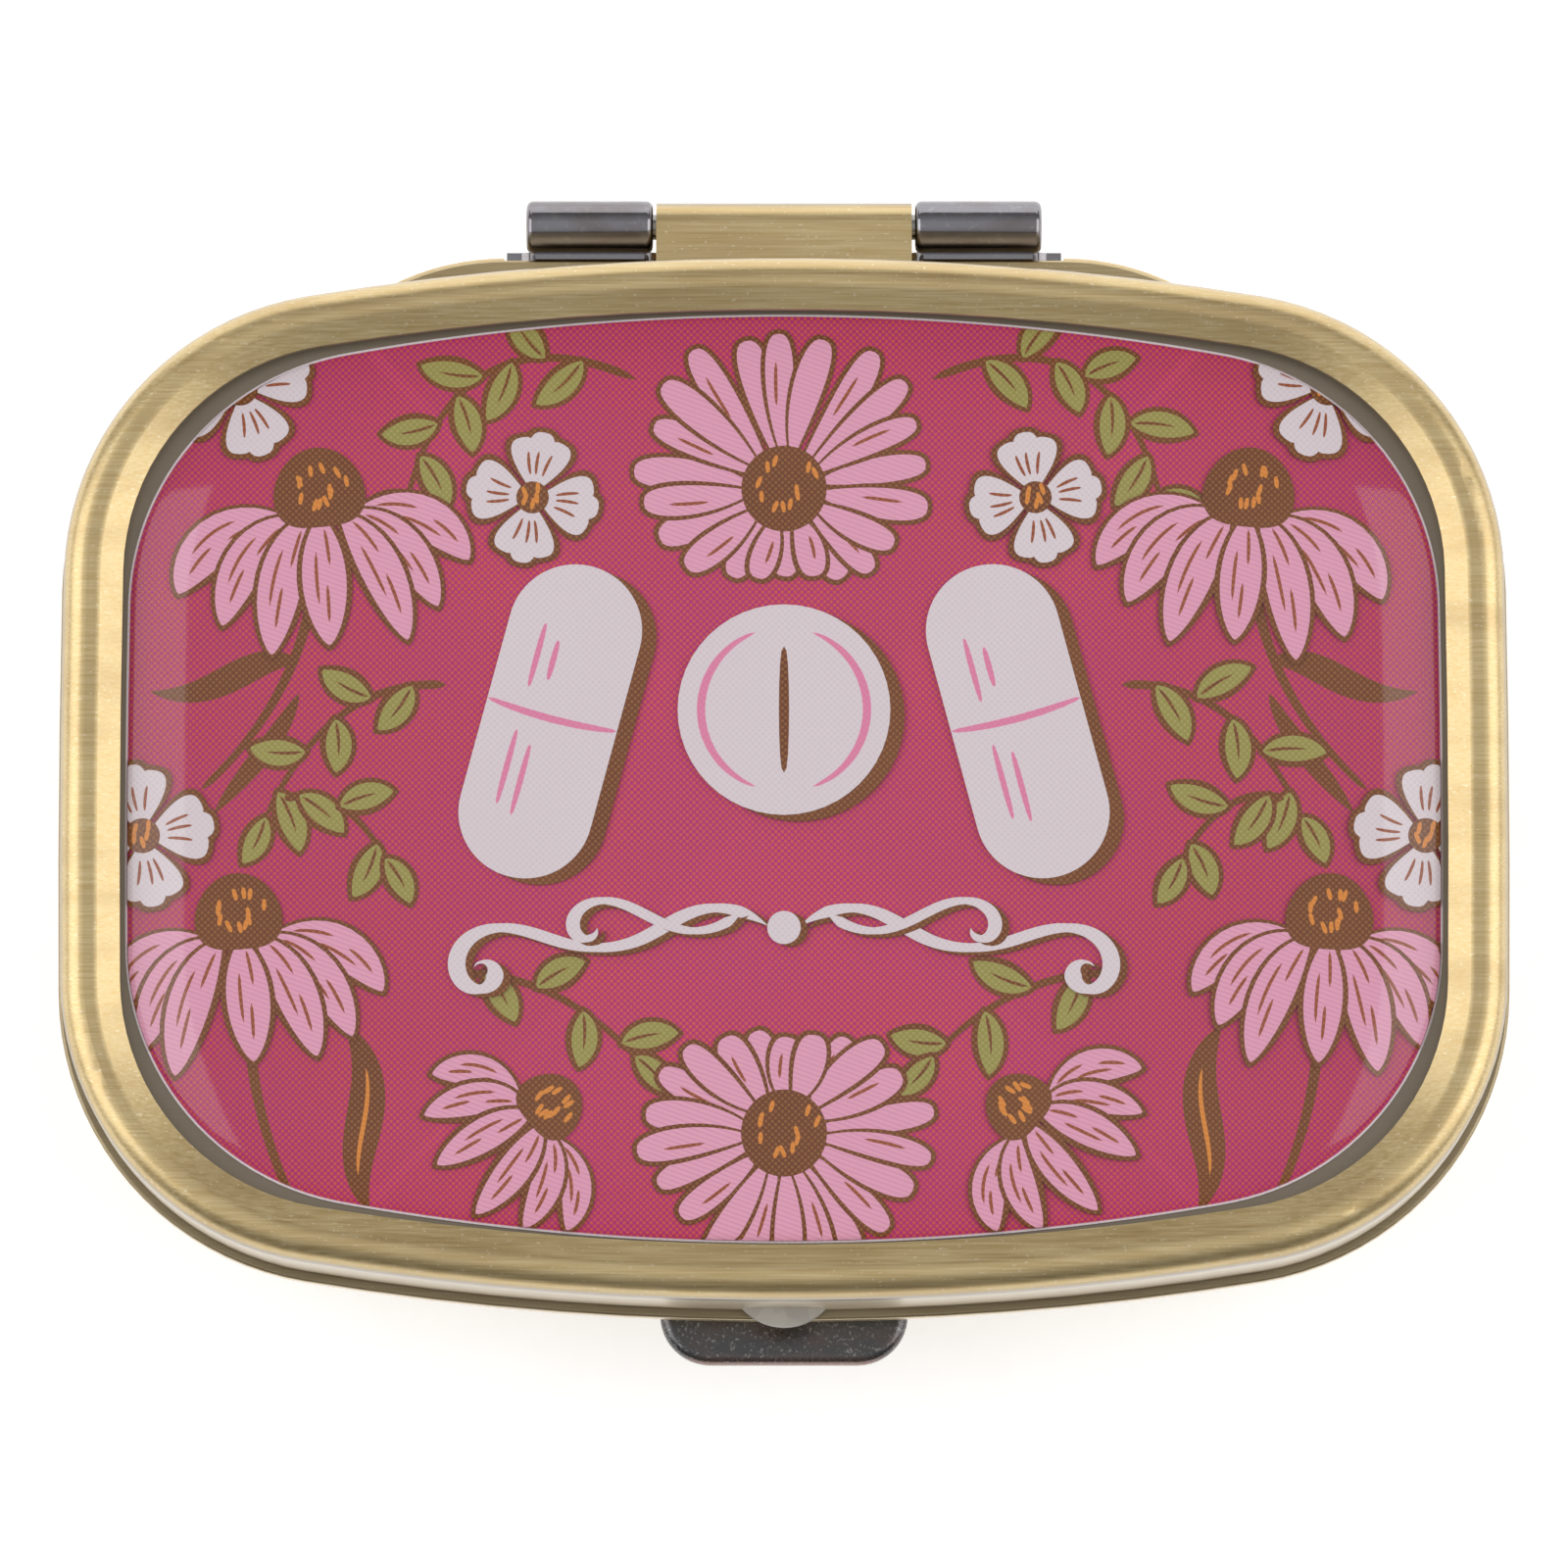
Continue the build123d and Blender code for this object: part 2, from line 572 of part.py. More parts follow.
with BuildPart() as lid_hinge_leaf:
    with BuildSketch(Plane.YZ):
        with Locations((PIN_Y, PIN_Z)):
            Circle(MIDDLE_KNUCKLE_RADIUS)
        with Locations((PIN_Y, PIN_Z + MIDDLE_KNUCKLE_RADIUS)):
            Rectangle(PIN_Y - (LID.half_depth - SHEET - LEAF), LEAF, align=(Align.MAX, Align.MAX))
        with Locations((PIN_Y, PIN_Z)):
            Circle(PIN_RADIUS + PIN_RUNNING_GAP, mode=Mode.SUBTRACT)
    extrude(amount=MIDDLE_KNUCKLE_HALF, both=True)
    with BuildSketch(Plane.XY.offset(PIN_Z + MIDDLE_KNUCKLE_RADIUS - LEAF)):
        cushion_ring(LID.inset(SHEET), LID.inset(SHEET + LEAF))
        with Locations((0, LID.half_depth)):
            Rectangle(2 * MIDDLE_KNUCKLE_HALF, 4, mode=Mode.INTERSECT)
    extrude(amount=3.0)

with BuildPart() as lid_catch:
    with BuildSketch(Plane.XY.offset(CATCH_BOTTOM)):
        cushion_ring(LID.inset(SHEET), LID.inset(2 * SHEET))
        with Locations((0, -LID.half_depth)):
            Rectangle(2 * CATCH_HALF, 4, mode=Mode.INTERSECT)
    extrude(amount=CATCH_TOP - CATCH_BOTTOM)
    with BuildSketch(Plane.YZ):
        barb_root_y = -LID.half_depth + 2 * SHEET
        with BuildLine():
            Polyline(
                (barb_root_y - 0.2, BARB_TOP),
                (barb_root_y + BARB_REACH, BARB_TOP),
                (barb_root_y + BARB_REACH, BARB_TOP - 0.2),
                (barb_root_y, CATCH_BOTTOM),
                (barb_root_y - 0.2, CATCH_BOTTOM),
                close=True,
            )
        make_face()
    extrude(amount=HOOK_HALF, both=True)
    add(lip_blank.part)

with BuildPart() as mirror_frame:
    with BuildSketch(Plane.XY.offset(FRAME_BOTTOM)):
        cushion_ring(LID.inset(FRAME_INSET), LID.inset(FRAME_WINDOW_INSET))
    extrude(amount=MIRROR_BOTTOM - FRAME_BOTTOM)
    with BuildSketch(Plane.XY.offset(MIRROR_BOTTOM)):
        cushion_ring(LID.inset(FRAME_INSET), LID.inset(FRAME_REBATE_INSET))
    extrude(amount=PANEL_BOTTOM - MIRROR_BOTTOM)
    inner_lip = [
        e
        for e in mirror_frame.edges().group_by(Axis.Z)[0]
        if e.bounding_box().max.X < LID.half_width - FRAME_WINDOW_INSET + 0.01
        and e.bounding_box().max.Y < LID.half_depth - FRAME_WINDOW_INSET + 0.01
        and e.bounding_box().min.X > -LID.half_width + FRAME_WINDOW_INSET - 0.01
        and e.bounding_box().min.Y > -LID.half_depth + FRAME_WINDOW_INSET - 0.01
    ]
    fillet(inner_lip, 0.5)

with BuildPart() as mirror:
    with BuildSketch(Plane.XY.offset(MIRROR_BOTTOM)):
        Cushion(LID.inset(MIRROR_INSET))
    extrude(amount=MIRROR_GLASS)

with BuildPart() as mirror_pad:
    with BuildSketch(Plane.XY.offset(MIRROR_BOTTOM + MIRROR_GLASS)):
        Cushion(LID.inset(MIRROR_PAD_INSET))
    extrude(amount=PANEL_BOTTOM - MIRROR_BOTTOM - MIRROR_GLASS)

# ---------------------------------------------------------------- label

with BuildPart() as label_print:
    with BuildSketch(Plane.XY.offset(PANEL_TOP)):
        Cushion(LABEL)
    extrude(amount=LABEL_FILM)

with BuildPart() as label_dome:
    with BuildSketch(Plane.XY.offset(PANEL_TOP + LABEL_FILM)):
        Cushion(LABEL.inset(DOME_INSET))
    extrude(amount=DOME_TOP - PANEL_TOP)
    with Locations((0, 0, DOME_TOP - DOME_SPHERE)):
        Sphere(DOME_SPHERE, mode=Mode.INTERSECT)
    crown_edges = [e for e in label_dome.edges() if e.center().Z > DOME_TOP - 0.9]
    fillet(crown_edges, DOME_EDGE_ROUND)

for name, piece in {
    "base_shell": base_shell,
    "base_rim_ring": base_rim_ring,
    "pill_tray": pill_tray,
    "tray_tape": tray_tape,
    "hinge_pad": hinge_pad,
    "base_hinge_leaf": base_hinge_leaf,
    "hinge_pin": hinge_pin,
    "hinge_rivets": hinge_rivets,
    "latch_bracket": latch_bracket,
    "latch_rivets": latch_rivets,
    "latch_spring": latch_spring,
    "latch_tab": latch_tab,
    "lid_shell": lid_shell,
    "lid_hinge_leaf": lid_hinge_leaf,
    "lid_catch": lid_catch,
    "mirror_frame": mirror_frame,
    "mirror": mirror,
    "mirror_pad": mirror_pad,
    "label_print": label_print,
    "label_dome": label_dome,
}.items():
    save(piece.part, name)
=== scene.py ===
"""Looks for the hinged pill box: brushed antique brass, black nickel fittings and a printed label under a clear dome.

Lengths in this file are millimetres unless a name says otherwise, and MM turns them into the scene's metres. The
label's pattern is ink laid on the printed film, shape over shape, inside the clear dome.
"""

import bmesh
import bpy
import numpy as np
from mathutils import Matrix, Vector


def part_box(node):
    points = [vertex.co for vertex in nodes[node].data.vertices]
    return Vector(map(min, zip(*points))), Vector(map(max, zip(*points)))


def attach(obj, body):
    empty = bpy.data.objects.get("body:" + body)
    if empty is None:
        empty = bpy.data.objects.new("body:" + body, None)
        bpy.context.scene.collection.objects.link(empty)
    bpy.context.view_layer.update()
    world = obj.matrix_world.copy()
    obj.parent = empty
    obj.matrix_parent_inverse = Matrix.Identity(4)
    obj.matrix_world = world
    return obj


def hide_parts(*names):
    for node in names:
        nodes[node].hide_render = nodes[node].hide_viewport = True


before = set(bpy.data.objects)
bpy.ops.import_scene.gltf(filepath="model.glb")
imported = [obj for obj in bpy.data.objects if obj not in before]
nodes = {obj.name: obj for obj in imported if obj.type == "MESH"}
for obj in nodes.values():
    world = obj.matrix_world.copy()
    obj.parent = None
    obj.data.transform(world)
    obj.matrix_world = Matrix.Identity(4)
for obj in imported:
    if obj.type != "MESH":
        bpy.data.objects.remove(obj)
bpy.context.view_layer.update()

MM = 0.001
rng = np.random.default_rng(7)

# ---------------------------------------------------------------- colours, nodes and meshes


def srgb(code):
    """Turns an sRGB hex colour into the linear colour a socket takes."""
    c = np.array([int(code[i : i + 2], 16) for i in (1, 3, 5)]) / 255
    return (*np.where(c <= 0.04045, c / 12.92, ((c + 0.055) / 1.055) ** 2.4), 1.0)


def cells(x, y, z):
    """The Mapping scale at which one cell of a pattern is x by y by z millimetres."""
    return tuple(1 / (size * MM) for size in (x, y, z))


def wire(tree, node, inputs):
    """Gives a node's inputs their values, or links them to a socket or to a node's first live output."""
    for key, value in inputs.items():
        if isinstance(value, bpy.types.Node):
            value = next(socket for socket in value.outputs if socket.enabled)
        if isinstance(value, bpy.types.NodeSocket):
            tree.links.new(value, node.inputs[key])
        else:
            node.inputs[key].default_value = value


def put(tree, kind, inputs, **settings):
    """Adds one node with its settings and its inputs."""
    node = tree.nodes.new(kind)
    for key, value in settings.items():
        setattr(node, key, value)
    wire(tree, node, inputs)
    return node


def finish(name):
    """A new material: itself, its tree, its Principled shader and its object coordinates."""
    material = bpy.data.materials.new(name)
    material.use_nodes = True
    tree = material.node_tree
    place = put(tree, "ShaderNodeTexCoord", {}).outputs["Object"]
    return material, tree, tree.nodes["Principled BSDF"], place


def make_piece(name, points, quads, material, smooth=False):
    """Turns point and face arrays, in millimetres, into one object that rides on the lid. Doubled points are merged
    and the faces turned outwards."""
    mesh = bpy.data.meshes.new(name)
    mesh.from_pydata((points * MM).tolist(), [], quads.tolist())
    shaped = bmesh.new()
    shaped.from_mesh(mesh)
    bmesh.ops.remove_doubles(shaped, verts=shaped.verts, dist=1e-8)
    bmesh.ops.dissolve_degenerate(shaped, edges=shaped.edges, dist=1e-8)
    bmesh.ops.recalc_face_normals(shaped, faces=shaped.faces)
    # A shallow closed form can still come out inside out, which its signed volume shows.
    if shaped.calc_volume(signed=True) < 0:
        bmesh.ops.reverse_faces(shaped, faces=shaped.faces)
    for face in shaped.faces:
        face.smooth = smooth
    shaped.to_mesh(mesh)
    shaped.free()
    mesh.materials.append(material)
    piece = bpy.data.objects.new(name, mesh)
    bpy.context.collection.objects.link(piece)
    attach(piece, "lid")
    return piece


def loops_to_quads(loops, around, closed=False):
    """Faces between points laid out as loops of the same count, and from the last loop to the first if closed."""
    i, j = np.meshgrid(np.arange(loops if closed else loops - 1), np.arange(around), indexing="ij")
    after, beside = (i + 1) % loops, (j + 1) % around
    corners = [i * around + j, i * around + beside, after * around + beside, after * around + j]
    return np.stack(corners, axis=-1).reshape(-1, 4)


# ---------------------------------------------------------------- the label's outline

LABEL_HALF_X, LABEL_HALF_Y, PRINT_TOP = np.array(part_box("label_print")[1]) / MM
SIDE_RADIUS = 500.0
END_RADIUS = 107.0
CORNER_RADIUS = 11.4


def corner_centre():
    """Centres of the side, end and corner arcs. The corner's is where two circles cross, each about another arc's
    centre and as large as that arc's radius less the corner's."""
    side = np.array([LABEL_HALF_X - SIDE_RADIUS, 0.0])
    end = np.array([0.0, LABEL_HALF_Y - END_RADIUS])
    reach_side = SIDE_RADIUS - CORNER_RADIUS
    reach_end = END_RADIUS - CORNER_RADIUS
    length = np.hypot(*(end - side))
    way = (end - side) / length
    along = (reach_side**2 - reach_end**2 + length**2) / (2 * length)
    return side, end, side + way * along + np.array([-way[1], way[0]]) * np.sqrt(reach_side**2 - along**2)


SIDE_CENTRE, END_CENTRE, CORNER = corner_centre()


def from_edge(x, y):
    """Signed distance of points from the label's outline, positive outside, and the outward direction. A point
    belongs to the side, end or corner arc by which sector it is in, and its distance is that from the arc's centre
    less the arc's radius."""
    quadrant = np.stack([np.abs(x), np.abs(y)], axis=-1)
    arms = [quadrant - centre for centre in (SIDE_CENTRE, END_CENTRE, CORNER)]
    spans = [np.hypot(arm[..., 0], arm[..., 1]) for arm in arms]
    on_side = np.cross(CORNER - SIDE_CENTRE, arms[0]) <= 0
    on_end = np.cross(CORNER - END_CENTRE, arms[1]) >= 0
    gaps = [span - radius for span, radius in zip(spans, (SIDE_RADIUS, END_RADIUS, CORNER_RADIUS))]
    ways = [arm / np.maximum(span, 1e-9)[..., None] for arm, span in zip(arms, spans)]
    distance = np.where(on_side, gaps[0], np.where(on_end, gaps[1], gaps[2]))
    way = np.where(on_side[..., None], ways[0], np.where(on_end[..., None], ways[1], ways[2]))
    return distance, way[..., 0] * np.sign(x), way[..., 1] * np.sign(y)


def rim(inset, count=360):
    """Points round the label, that far inside its outline: points of an ellipse, stepped along the outward direction
    until their distance is right."""
    turn = np.linspace(0, 2 * np.pi, count, endpoint=False) + 1e-4
    x = LABEL_HALF_X * np.cos(turn)
    y = LABEL_HALF_Y * np.sin(turn)
    for _ in range(6):
        distance, way_x, way_y = from_edge(x, y)
        x = x - (distance + inset) * way_x
        y = y - (distance + inset) * way_y
    return x, y


# ---------------------------------------------------------------- ink strokes

# Each stroke laid is a little higher than the one before, so that the later covers the earlier.
LAYERS = []
LOWEST_INK = 0.006
LAYER_STEP = 0.00018
INK_FOOT = 0.02
CUT_MARGIN = 0.1
OUTLINE = 0.24


def bezier(points, s):
    """The points at s on the Bezier curve of these control points: their sum weighted by Bernstein polynomials."""
    points = np.asarray(points, float)
    n = len(points) - 1
    k = np.arange(n + 1)
    choose = np.array([np.prod(np.arange(n - j + 1, n + 1)) / np.prod(np.arange(1, j + 1)) for j in k])
    return (choose * s[:, None] ** k * (1 - s[:, None]) ** (n - k)) @ points


def places(count):
    """Places from 0 to 1, close together at both ends: half of 1 minus the cosine of a half turn."""
    return (1 - np.cos(np.linspace(0, np.pi, count))) / 2


def swell(s, half, base, tip):
    """Half width of a blade along it: s to the power base times (1 - s) to the power tip, scaled to peak at half."""
    peak = base / (base + tip)
    return half * s**base * (1 - s) ** tip / (peak**base * (1 - peak) ** tip)


def turned(points, angle, origin):
    """Points turned about zero by an angle in degrees, then moved to the origin."""
    a = np.radians(angle)
    matrix = np.array([[np.cos(a), np.sin(a)], [-np.sin(a), np.cos(a)]])
    return np.asarray(points, float) @ matrix + np.asarray(origin, float)


def lay(ink, path, half):
    """Lays one stroke: a flat strip of that half width carried along the path, with its foot in the film. What runs
    past the label's cut edge is moved straight in to it."""
    way = np.gradient(path, axis=0)
    way /= np.maximum(np.hypot(way[:, 0], way[:, 1]), 1e-9)[:, None]
    across = np.stack([-way[:, 1], way[:, 0]], axis=1)
    height = LOWEST_INK + LAYER_STEP * len(LAYERS)
    side = np.array([1.0, 1.0, -1.0, -1.0])
    flat = path[:, None, :] + across[:, None, :] * (half[:, None] * side)[..., None]
    distance, way_x, way_y = from_edge(flat[..., 0], flat[..., 1])
    over = np.maximum(distance + CUT_MARGIN, 0)
    z = np.broadcast_to(PRINT_TOP + np.array([-INK_FOOT, height, height, -INK_FOOT]), over.shape)
    points = np.stack([flat[..., 0] - over * way_x, flat[..., 1] - over * way_y, z], axis=-1)
    LAYERS.append((ink, points.reshape(-1, 3), loops_to_quads(len(path), 4)))


def blade(points, half, base, tip, fill, line=OUTLINE, count=18):
    """A leaf or petal: a brown blade longer and broader by the line's width, then its fill."""
    s = places(count)
    points = np.asarray(points, float)
    grown = points.copy()
    grown[0] += line * (points[0] - points[1]) / np.hypot(*(points[0] - points[1]))
    grown[-1] += line * (points[-1] - points[-2]) / np.hypot(*(points[-1] - points[-2]))
    lay("brown", bezier(grown, s), swell(s, half + line, base, tip))
    lay(fill, bezier(points, s), swell(s, half, base, tip))


def dash(ink, start, end, half, bend=0.0):
    """A short stroke that thins to both ends, bowed sideways by bend times its length."""
    start = np.asarray(start, float)
    end = np.asarray(end, float)
    middle = (start + end) / 2 + bend * np.array([start[1] - end[1], end[0] - start[0]])
    s = places(9)
    lay(ink, bezier([start, middle, end], s), swell(s, half, 0.35, 0.35))


def disc(ink, centre, radius_x, radius_y, turn=0.0):
    """An ellipse: a stroke up its axis whose half width is the root of s times (1 - s)."""
    s = places(25)
    path = turned(np.stack([0 * s, radius_y * (2 * s - 1)], axis=1), turn, centre)
    lay(ink, path, swell(s, radius_x, 0.5, 0.5))


def seeds(centre, radius_x, radius_y, count, turn=0.0):
    """Orange dashes over a seed head, each the golden angle round from the last and at its own distance."""
    for i in range(count):
        a = 2.4 * i + rng.uniform(-0.2, 0.2)
        r = 0.3 + 0.55 * ((i * 0.618) % 1)
        spot = np.array([radius_x * r * np.cos(a), radius_y * r * np.sin(a)])
        lean = rng.uniform(-0.12, 0.12)
        ends = turned([spot + (lean, -0.26), spot + (-lean, 0.26)], turn, centre)
        dash("orange", *ends, 0.1)


def daisy(centre, radius, up, aside, down, count, half):
    """A daisy. A petal's reach blends up or down with aside by the squares of its direction's sine and cosine."""
    centre = np.asarray(centre, float)
    for i in np.argsort(rng.random(count)):
        a = 2 * np.pi * (i + 0.5) / count + rng.uniform(-0.05, 0.05)
        reach = aside * np.cos(a) ** 2 + (up if np.sin(a) > 0 else down) * np.sin(a) ** 2
        reach *= rng.uniform(0.92, 1.05)
        way = np.array([np.cos(a), np.sin(a)])
        bow = rng.uniform(-0.4, 0.4) * np.array([-way[1], way[0]])
        points = [centre + 0.7 * radius * way, centre + 0.55 * reach * way + bow, centre + reach * way]
        blade(points, half * rng.uniform(0.82, 1.05), 0.9, 0.36, "blush", line=0.2)
        if i % 2:
            vein(points, half, 0.45, 0.8, 0.25)
    disc("brown", centre, radius, radius * 1.02)
    seeds(centre, radius, radius, 11)


def vein(points, half, start, end, beside):
    """A fold drawn on a petal: a thin stroke that keeps beside times the petal's half width off its middle line."""
    s = np.linspace(start, end, 8)
    path = bezier(points, s)
    way = np.gradient(path, axis=0)
    way /= np.hypot(way[:, 0], way[:, 1])[:, None]
    path = path + np.stack([-way[:, 1], way[:, 0]], axis=1) * (beside * swell(s, half, 0.9, 0.7))[:, None]
    lay("sienna", path, swell(np.linspace(0, 1, 8), 0.075, 0.3, 0.3))


def coneflower(centre, turn, size, petals=7):
    """A coneflower seen from the side: petals fan out and droop from under a domed seed head, the outer ones
    first."""
    spread = np.linspace(-80, 80, petals)
    for i in np.argsort(-np.abs(spread)):
        a = np.radians(spread[i] + rng.uniform(-4, 4))
        reach = size * (6.5 + 0.5 * np.cos(3 * a) + rng.uniform(-0.3, 0.3))
        out = np.array([np.sin(a), -np.cos(a)])
        root = np.array([1.5 * np.sin(a), -0.45]) * size
        middle = root + 0.5 * reach * (0.8 * out + np.array([0.25 * np.sin(a), 0.2]))
        tip = root + reach * (0.76 * out - np.array([0.0, 0.34 * np.abs(np.sin(a)) ** 0.5]))
        points = turned([root, middle, tip], turn, centre)
        half = size * rng.uniform(0.86, 1.02)
        blade(points, half, 0.9, 0.7, "blush")
        for start, end, beside in ((0.14, 0.46, 0.3), (0.34, 0.74, -0.34), (0.6, 0.86, 0.12)):
            vein(points, half, start, end, beside)
    s = places(25)
    axis = turned(np.stack([0 * s, size * (3.5 * s - 1.0)], axis=1), turn, centre)
    lay("brown", axis, swell(s, 2.0 * size, 0.3, 0.5))
    seeds(turned([(0, 0.6 * size)], turn, centre)[0], 1.55 * size, 1.35 * size, 12, turn)


def white_flower(centre, turn, size):
    """A small flower of four fan petals round a brown eye. Each petal is three lobes over their shared outline."""
    s = places(16)
    for quarter in range(4):
        for ink, line in (("brown", OUTLINE), ("white", 0.0)):
            for lobe in (-20, 20, 0):
                reach = 3.05 if lobe else 3.3
                points = turned(turned([(0.3, 0), (1.7, 0), (reach + line, 0)], lobe, (0, 0)) * size, turn + 90 * quarter, centre)
                lay(ink, bezier(points, s), swell(s, 0.64 * size + line, 1.1, 0.36))
        for lobe in (-15, 2, 15):
            ends = turned(turned([(1.15, 0), (2.3, 0)], lobe, (0, 0)) * size, turn + 90 * quarter, centre)
            dash("sienna", *ends, 0.07, 0.06)
    disc("brown", centre, 0.8 * size, 0.8 * size)
    seeds(centre, 0.7 * size, 0.7 * size, 5)


def leaf(root, heading, length, half):
    """An olive leaf with a brown edge and rib."""
    way = turned([(1, 0)], heading, (0, 0))[0]
    left = np.array([-way[1], way[0]])
    points = [root, root + 0.5 * length * way + 0.12 * length * left, root + length * way]
    blade(points, half, 0.75, 0.8, "olive")
    s = np.linspace(0.04, 0.7, 8)
    lay("brown", bezier(points, s), swell(np.linspace(0, 1, 8), 0.07, 0.3, 0.6))


def stem(points, thick, thin):
    """A brown stalk that thins along its length."""
    s = np.linspace(0, 1, 40)
    lay("brown", bezier(points, s), (thick + (thin - thick) * s) * np.minimum(1, np.minimum(s, 1 - s) * 30))


def sprig(points, leaves, first):
    """A stalk with leaves on alternate sides, the first on the left if first is 1, and one leaf at its tip."""
    stem(points, 0.19, 0.11)
    s = np.linspace(0.14, 0.9, leaves)
    spots = bezier(points, s)
    ahead = bezier(points, s + 0.02) - spots
    for i, (spot, way) in enumerate(zip(spots, ahead)):
        lean = (first if i % 2 == 0 else -first) * rng.uniform(44, 60)
        leaf(spot, np.degrees(np.arctan2(way[1], way[0])) + lean, rng.uniform(2.3, 2.8), 0.56)
    way = bezier(points, np.array([0.97, 1.0]))
    leaf(way[1], np.degrees(np.arctan2(*(way[1] - way[0])[::-1])), 2.2, 0.5)


def ribbed_blade(points, half, rib):
    """A long brown leaf, with an orange rib if rib is true."""
    s = places(30)
    lay("brown", bezier(points, s), swell(s, half, 0.7, 0.8))
    if rib:
        lay("orange", bezier(points, np.linspace(0.2, 0.8, 16)), swell(np.linspace(0, 1, 16), 0.1, 0.4, 0.4))


SHADOW = np.array([0.62, -0.28])
SHADOW_SHARES = np.linspace(1, 0.2, 5)


def bar(ink, start, end, radius):
    """A straight bar with half-round ends: half width is the root of radius squared less the square of how far a
    point is past the end's centre."""
    length = np.hypot(*(end - start))
    along = places(60) * (length + 2 * radius) - radius
    past = np.maximum(np.maximum(-along, along - length), 0)
    lay(ink, start + (end - start) * (along / length)[:, None], np.sqrt(np.maximum(radius**2 - past**2, 0)))


def capsule(centre, turn, length, radius):
    """A two-part capsule in white with a brown drop shadow, a seam and inline strokes."""
    half = length / 2 - radius
    ends = turned([(-half, 0), (half, 0)], turn, centre)
    for share in SHADOW_SHARES:
        bar("brown", *(ends + share * SHADOW), radius)
    bar("white", *ends, radius)
    dash("rose", *turned([(0.3, -radius), (0.3, radius)], turn, centre), 0.16, 0.07)
    for start, end, beside in ((-half, -0.7, 0.45), (-half - 0.3, -1.2, 0.2), (1.2, half, 0.45), (1.7, half - 0.6, 0.2)):
        dash("rose", *turned([(start, beside * radius), (end, beside * radius)], turn, centre), 0.13)


def tablet(centre, radius):
    """A round scored tablet in white with a brown drop shadow and a crescent inside its edge on both sides."""
    centre = np.asarray(centre, float)
    for share in SHADOW_SHARES:
        disc("brown", centre + share * SHADOW, radius, radius)
    disc("white", centre, radius, radius)
    s = np.linspace(0, 1, 40)
    for start, sweep in ((110, 140), (-70, 140)):
        a = np.radians(start + sweep * s)
        lay("rose", centre + 0.78 * radius * np.stack([np.cos(a), np.sin(a)], axis=1), swell(s, 0.18, 0.5, 0.5))
    dash("brown", centre + (0, 0.6 * radius), centre - (0, 0.6 * radius), 0.22)


def scroll(start, heading, bends, length, half):
    """A pen flourish: the heading is the running sum of its bend, and the pen's place the running sum of the
    heading's cosine and sine. The line is broadest where it runs up or down the label."""
    s = np.linspace(0, 1, 160)
    step = length / len(s)
    angle = np.radians(heading) + np.cumsum(np.interp(s, np.linspace(0, 1, len(bends)), bends)) * step
    path = np.asarray(start, float) + np.cumsum(np.stack([np.cos(angle), np.sin(angle)], axis=1), axis=0) * step
    pen = half * (0.5 + 0.5 * np.abs(np.sin(angle))) * np.minimum(1, np.minimum(s, 1 - s) * 14)
    lay("brown", path + 0.5 * SHADOW, pen)
    lay("white", path, pen)


# ---------------------------------------------------------------- the label's pattern, the same on both sides


def both_sides(points):
    """The points as given and mirrored, each with its side."""
    points = np.asarray(points, float)
    return [(side, points * (side, 1)) for side in (-1, 1)]


for _, points in both_sides([(20.2, 10.2), (20.4, 3.8), (25.2, -0.6)]):
    stem(points, 0.26, 0.14)
for _, points in both_sides([(23.0, -8.5), (23.4, -13.5), (21.2, -18.3)]):
    stem(points, 0.26, 0.18)
for _, points in both_sides([(21.0, 5.0), (23.2, 5.6), (24.4, 3.0), (27.4, 3.7)]):
    ribbed_blade(points, 0.62, False)
for _, points in both_sides([(21.0, 3.6), (21.8, 1.6), (23.4, 0.0), (24.6, -1.6)]):
    ribbed_blade(points, 0.42, False)
for _, points in both_sides([(18.8, -10.9), (16.6, -14.0), (19.4, -16.2), (17.8, -18.9)]):
    ribbed_blade(points, 0.8, True)
for side, points in both_sides([(6.4, 17.4), (12.4, 20.2), (15.8, 16.6), (16.6, 10.6)]):
    sprig(points, 8, -side)
for side, points in both_sides([(14.6, 4.0), (18.4, 4.2), (20.6, 2.0), (22.4, -1.8)]):
    sprig(points, 5, -side)
for side, points in both_sides([(21.6, -1.0), (20.0, -0.4), (18.4, -1.4), (17.2, -3.6)]):
    sprig(points, 3, side)
for side, points in both_sides([(14.2, -8.6), (11.0, -8.4), (8.2, -10.2), (6.4, -12.2)]):
    sprig(points, 4, side)

daisy((0, 12.6), 1.85, 7.3, 6.3, 3.9, 22, 0.66)
daisy((0, -15.5), 1.85, 4.4, 6.3, 6.0, 22, 0.66)
for side in (-1, 1):
    coneflower((20.1 * side, 11.9), -6 * side, 1.0)
    coneflower((23.5 * side, -6.6), -4 * side, 0.95)
    coneflower((10.4 * side, -14.6), 50 * side, 0.74, 6)
    white_flower((23.6 * side, 17.0), -20 * side, 0.95)
    white_flower((10.9 * side, 12.2), 10 * side, 0.88)
    white_flower((27.7 * side, -2.6), -10 * side, 0.95)
    capsule((10.1 * side, 2.4), 90 + 15 * side, 14.0, 2.9)
tablet((0, 2.9), 4.6)
for side in (-1, 1):
    long_bends = np.array([-0.2, -0.35, 0.25, 0.15, -0.4, -0.9, -2.2]) * side
    scroll((0.6 * side, -6.6), 90 - 90 * side + 38 * side, long_bends, 19.0, 0.38)
    scroll((1.8 * side, -5.9), 90 - 90 * side - 42 * side, np.array([0.25, 0.4, -0.1, -0.8, -2.4]) * side, 10.0, 0.3)
disc("brown", (0.3, -6.7), 0.72, 0.72)
disc("white", (0, -6.6), 0.72, 0.72)
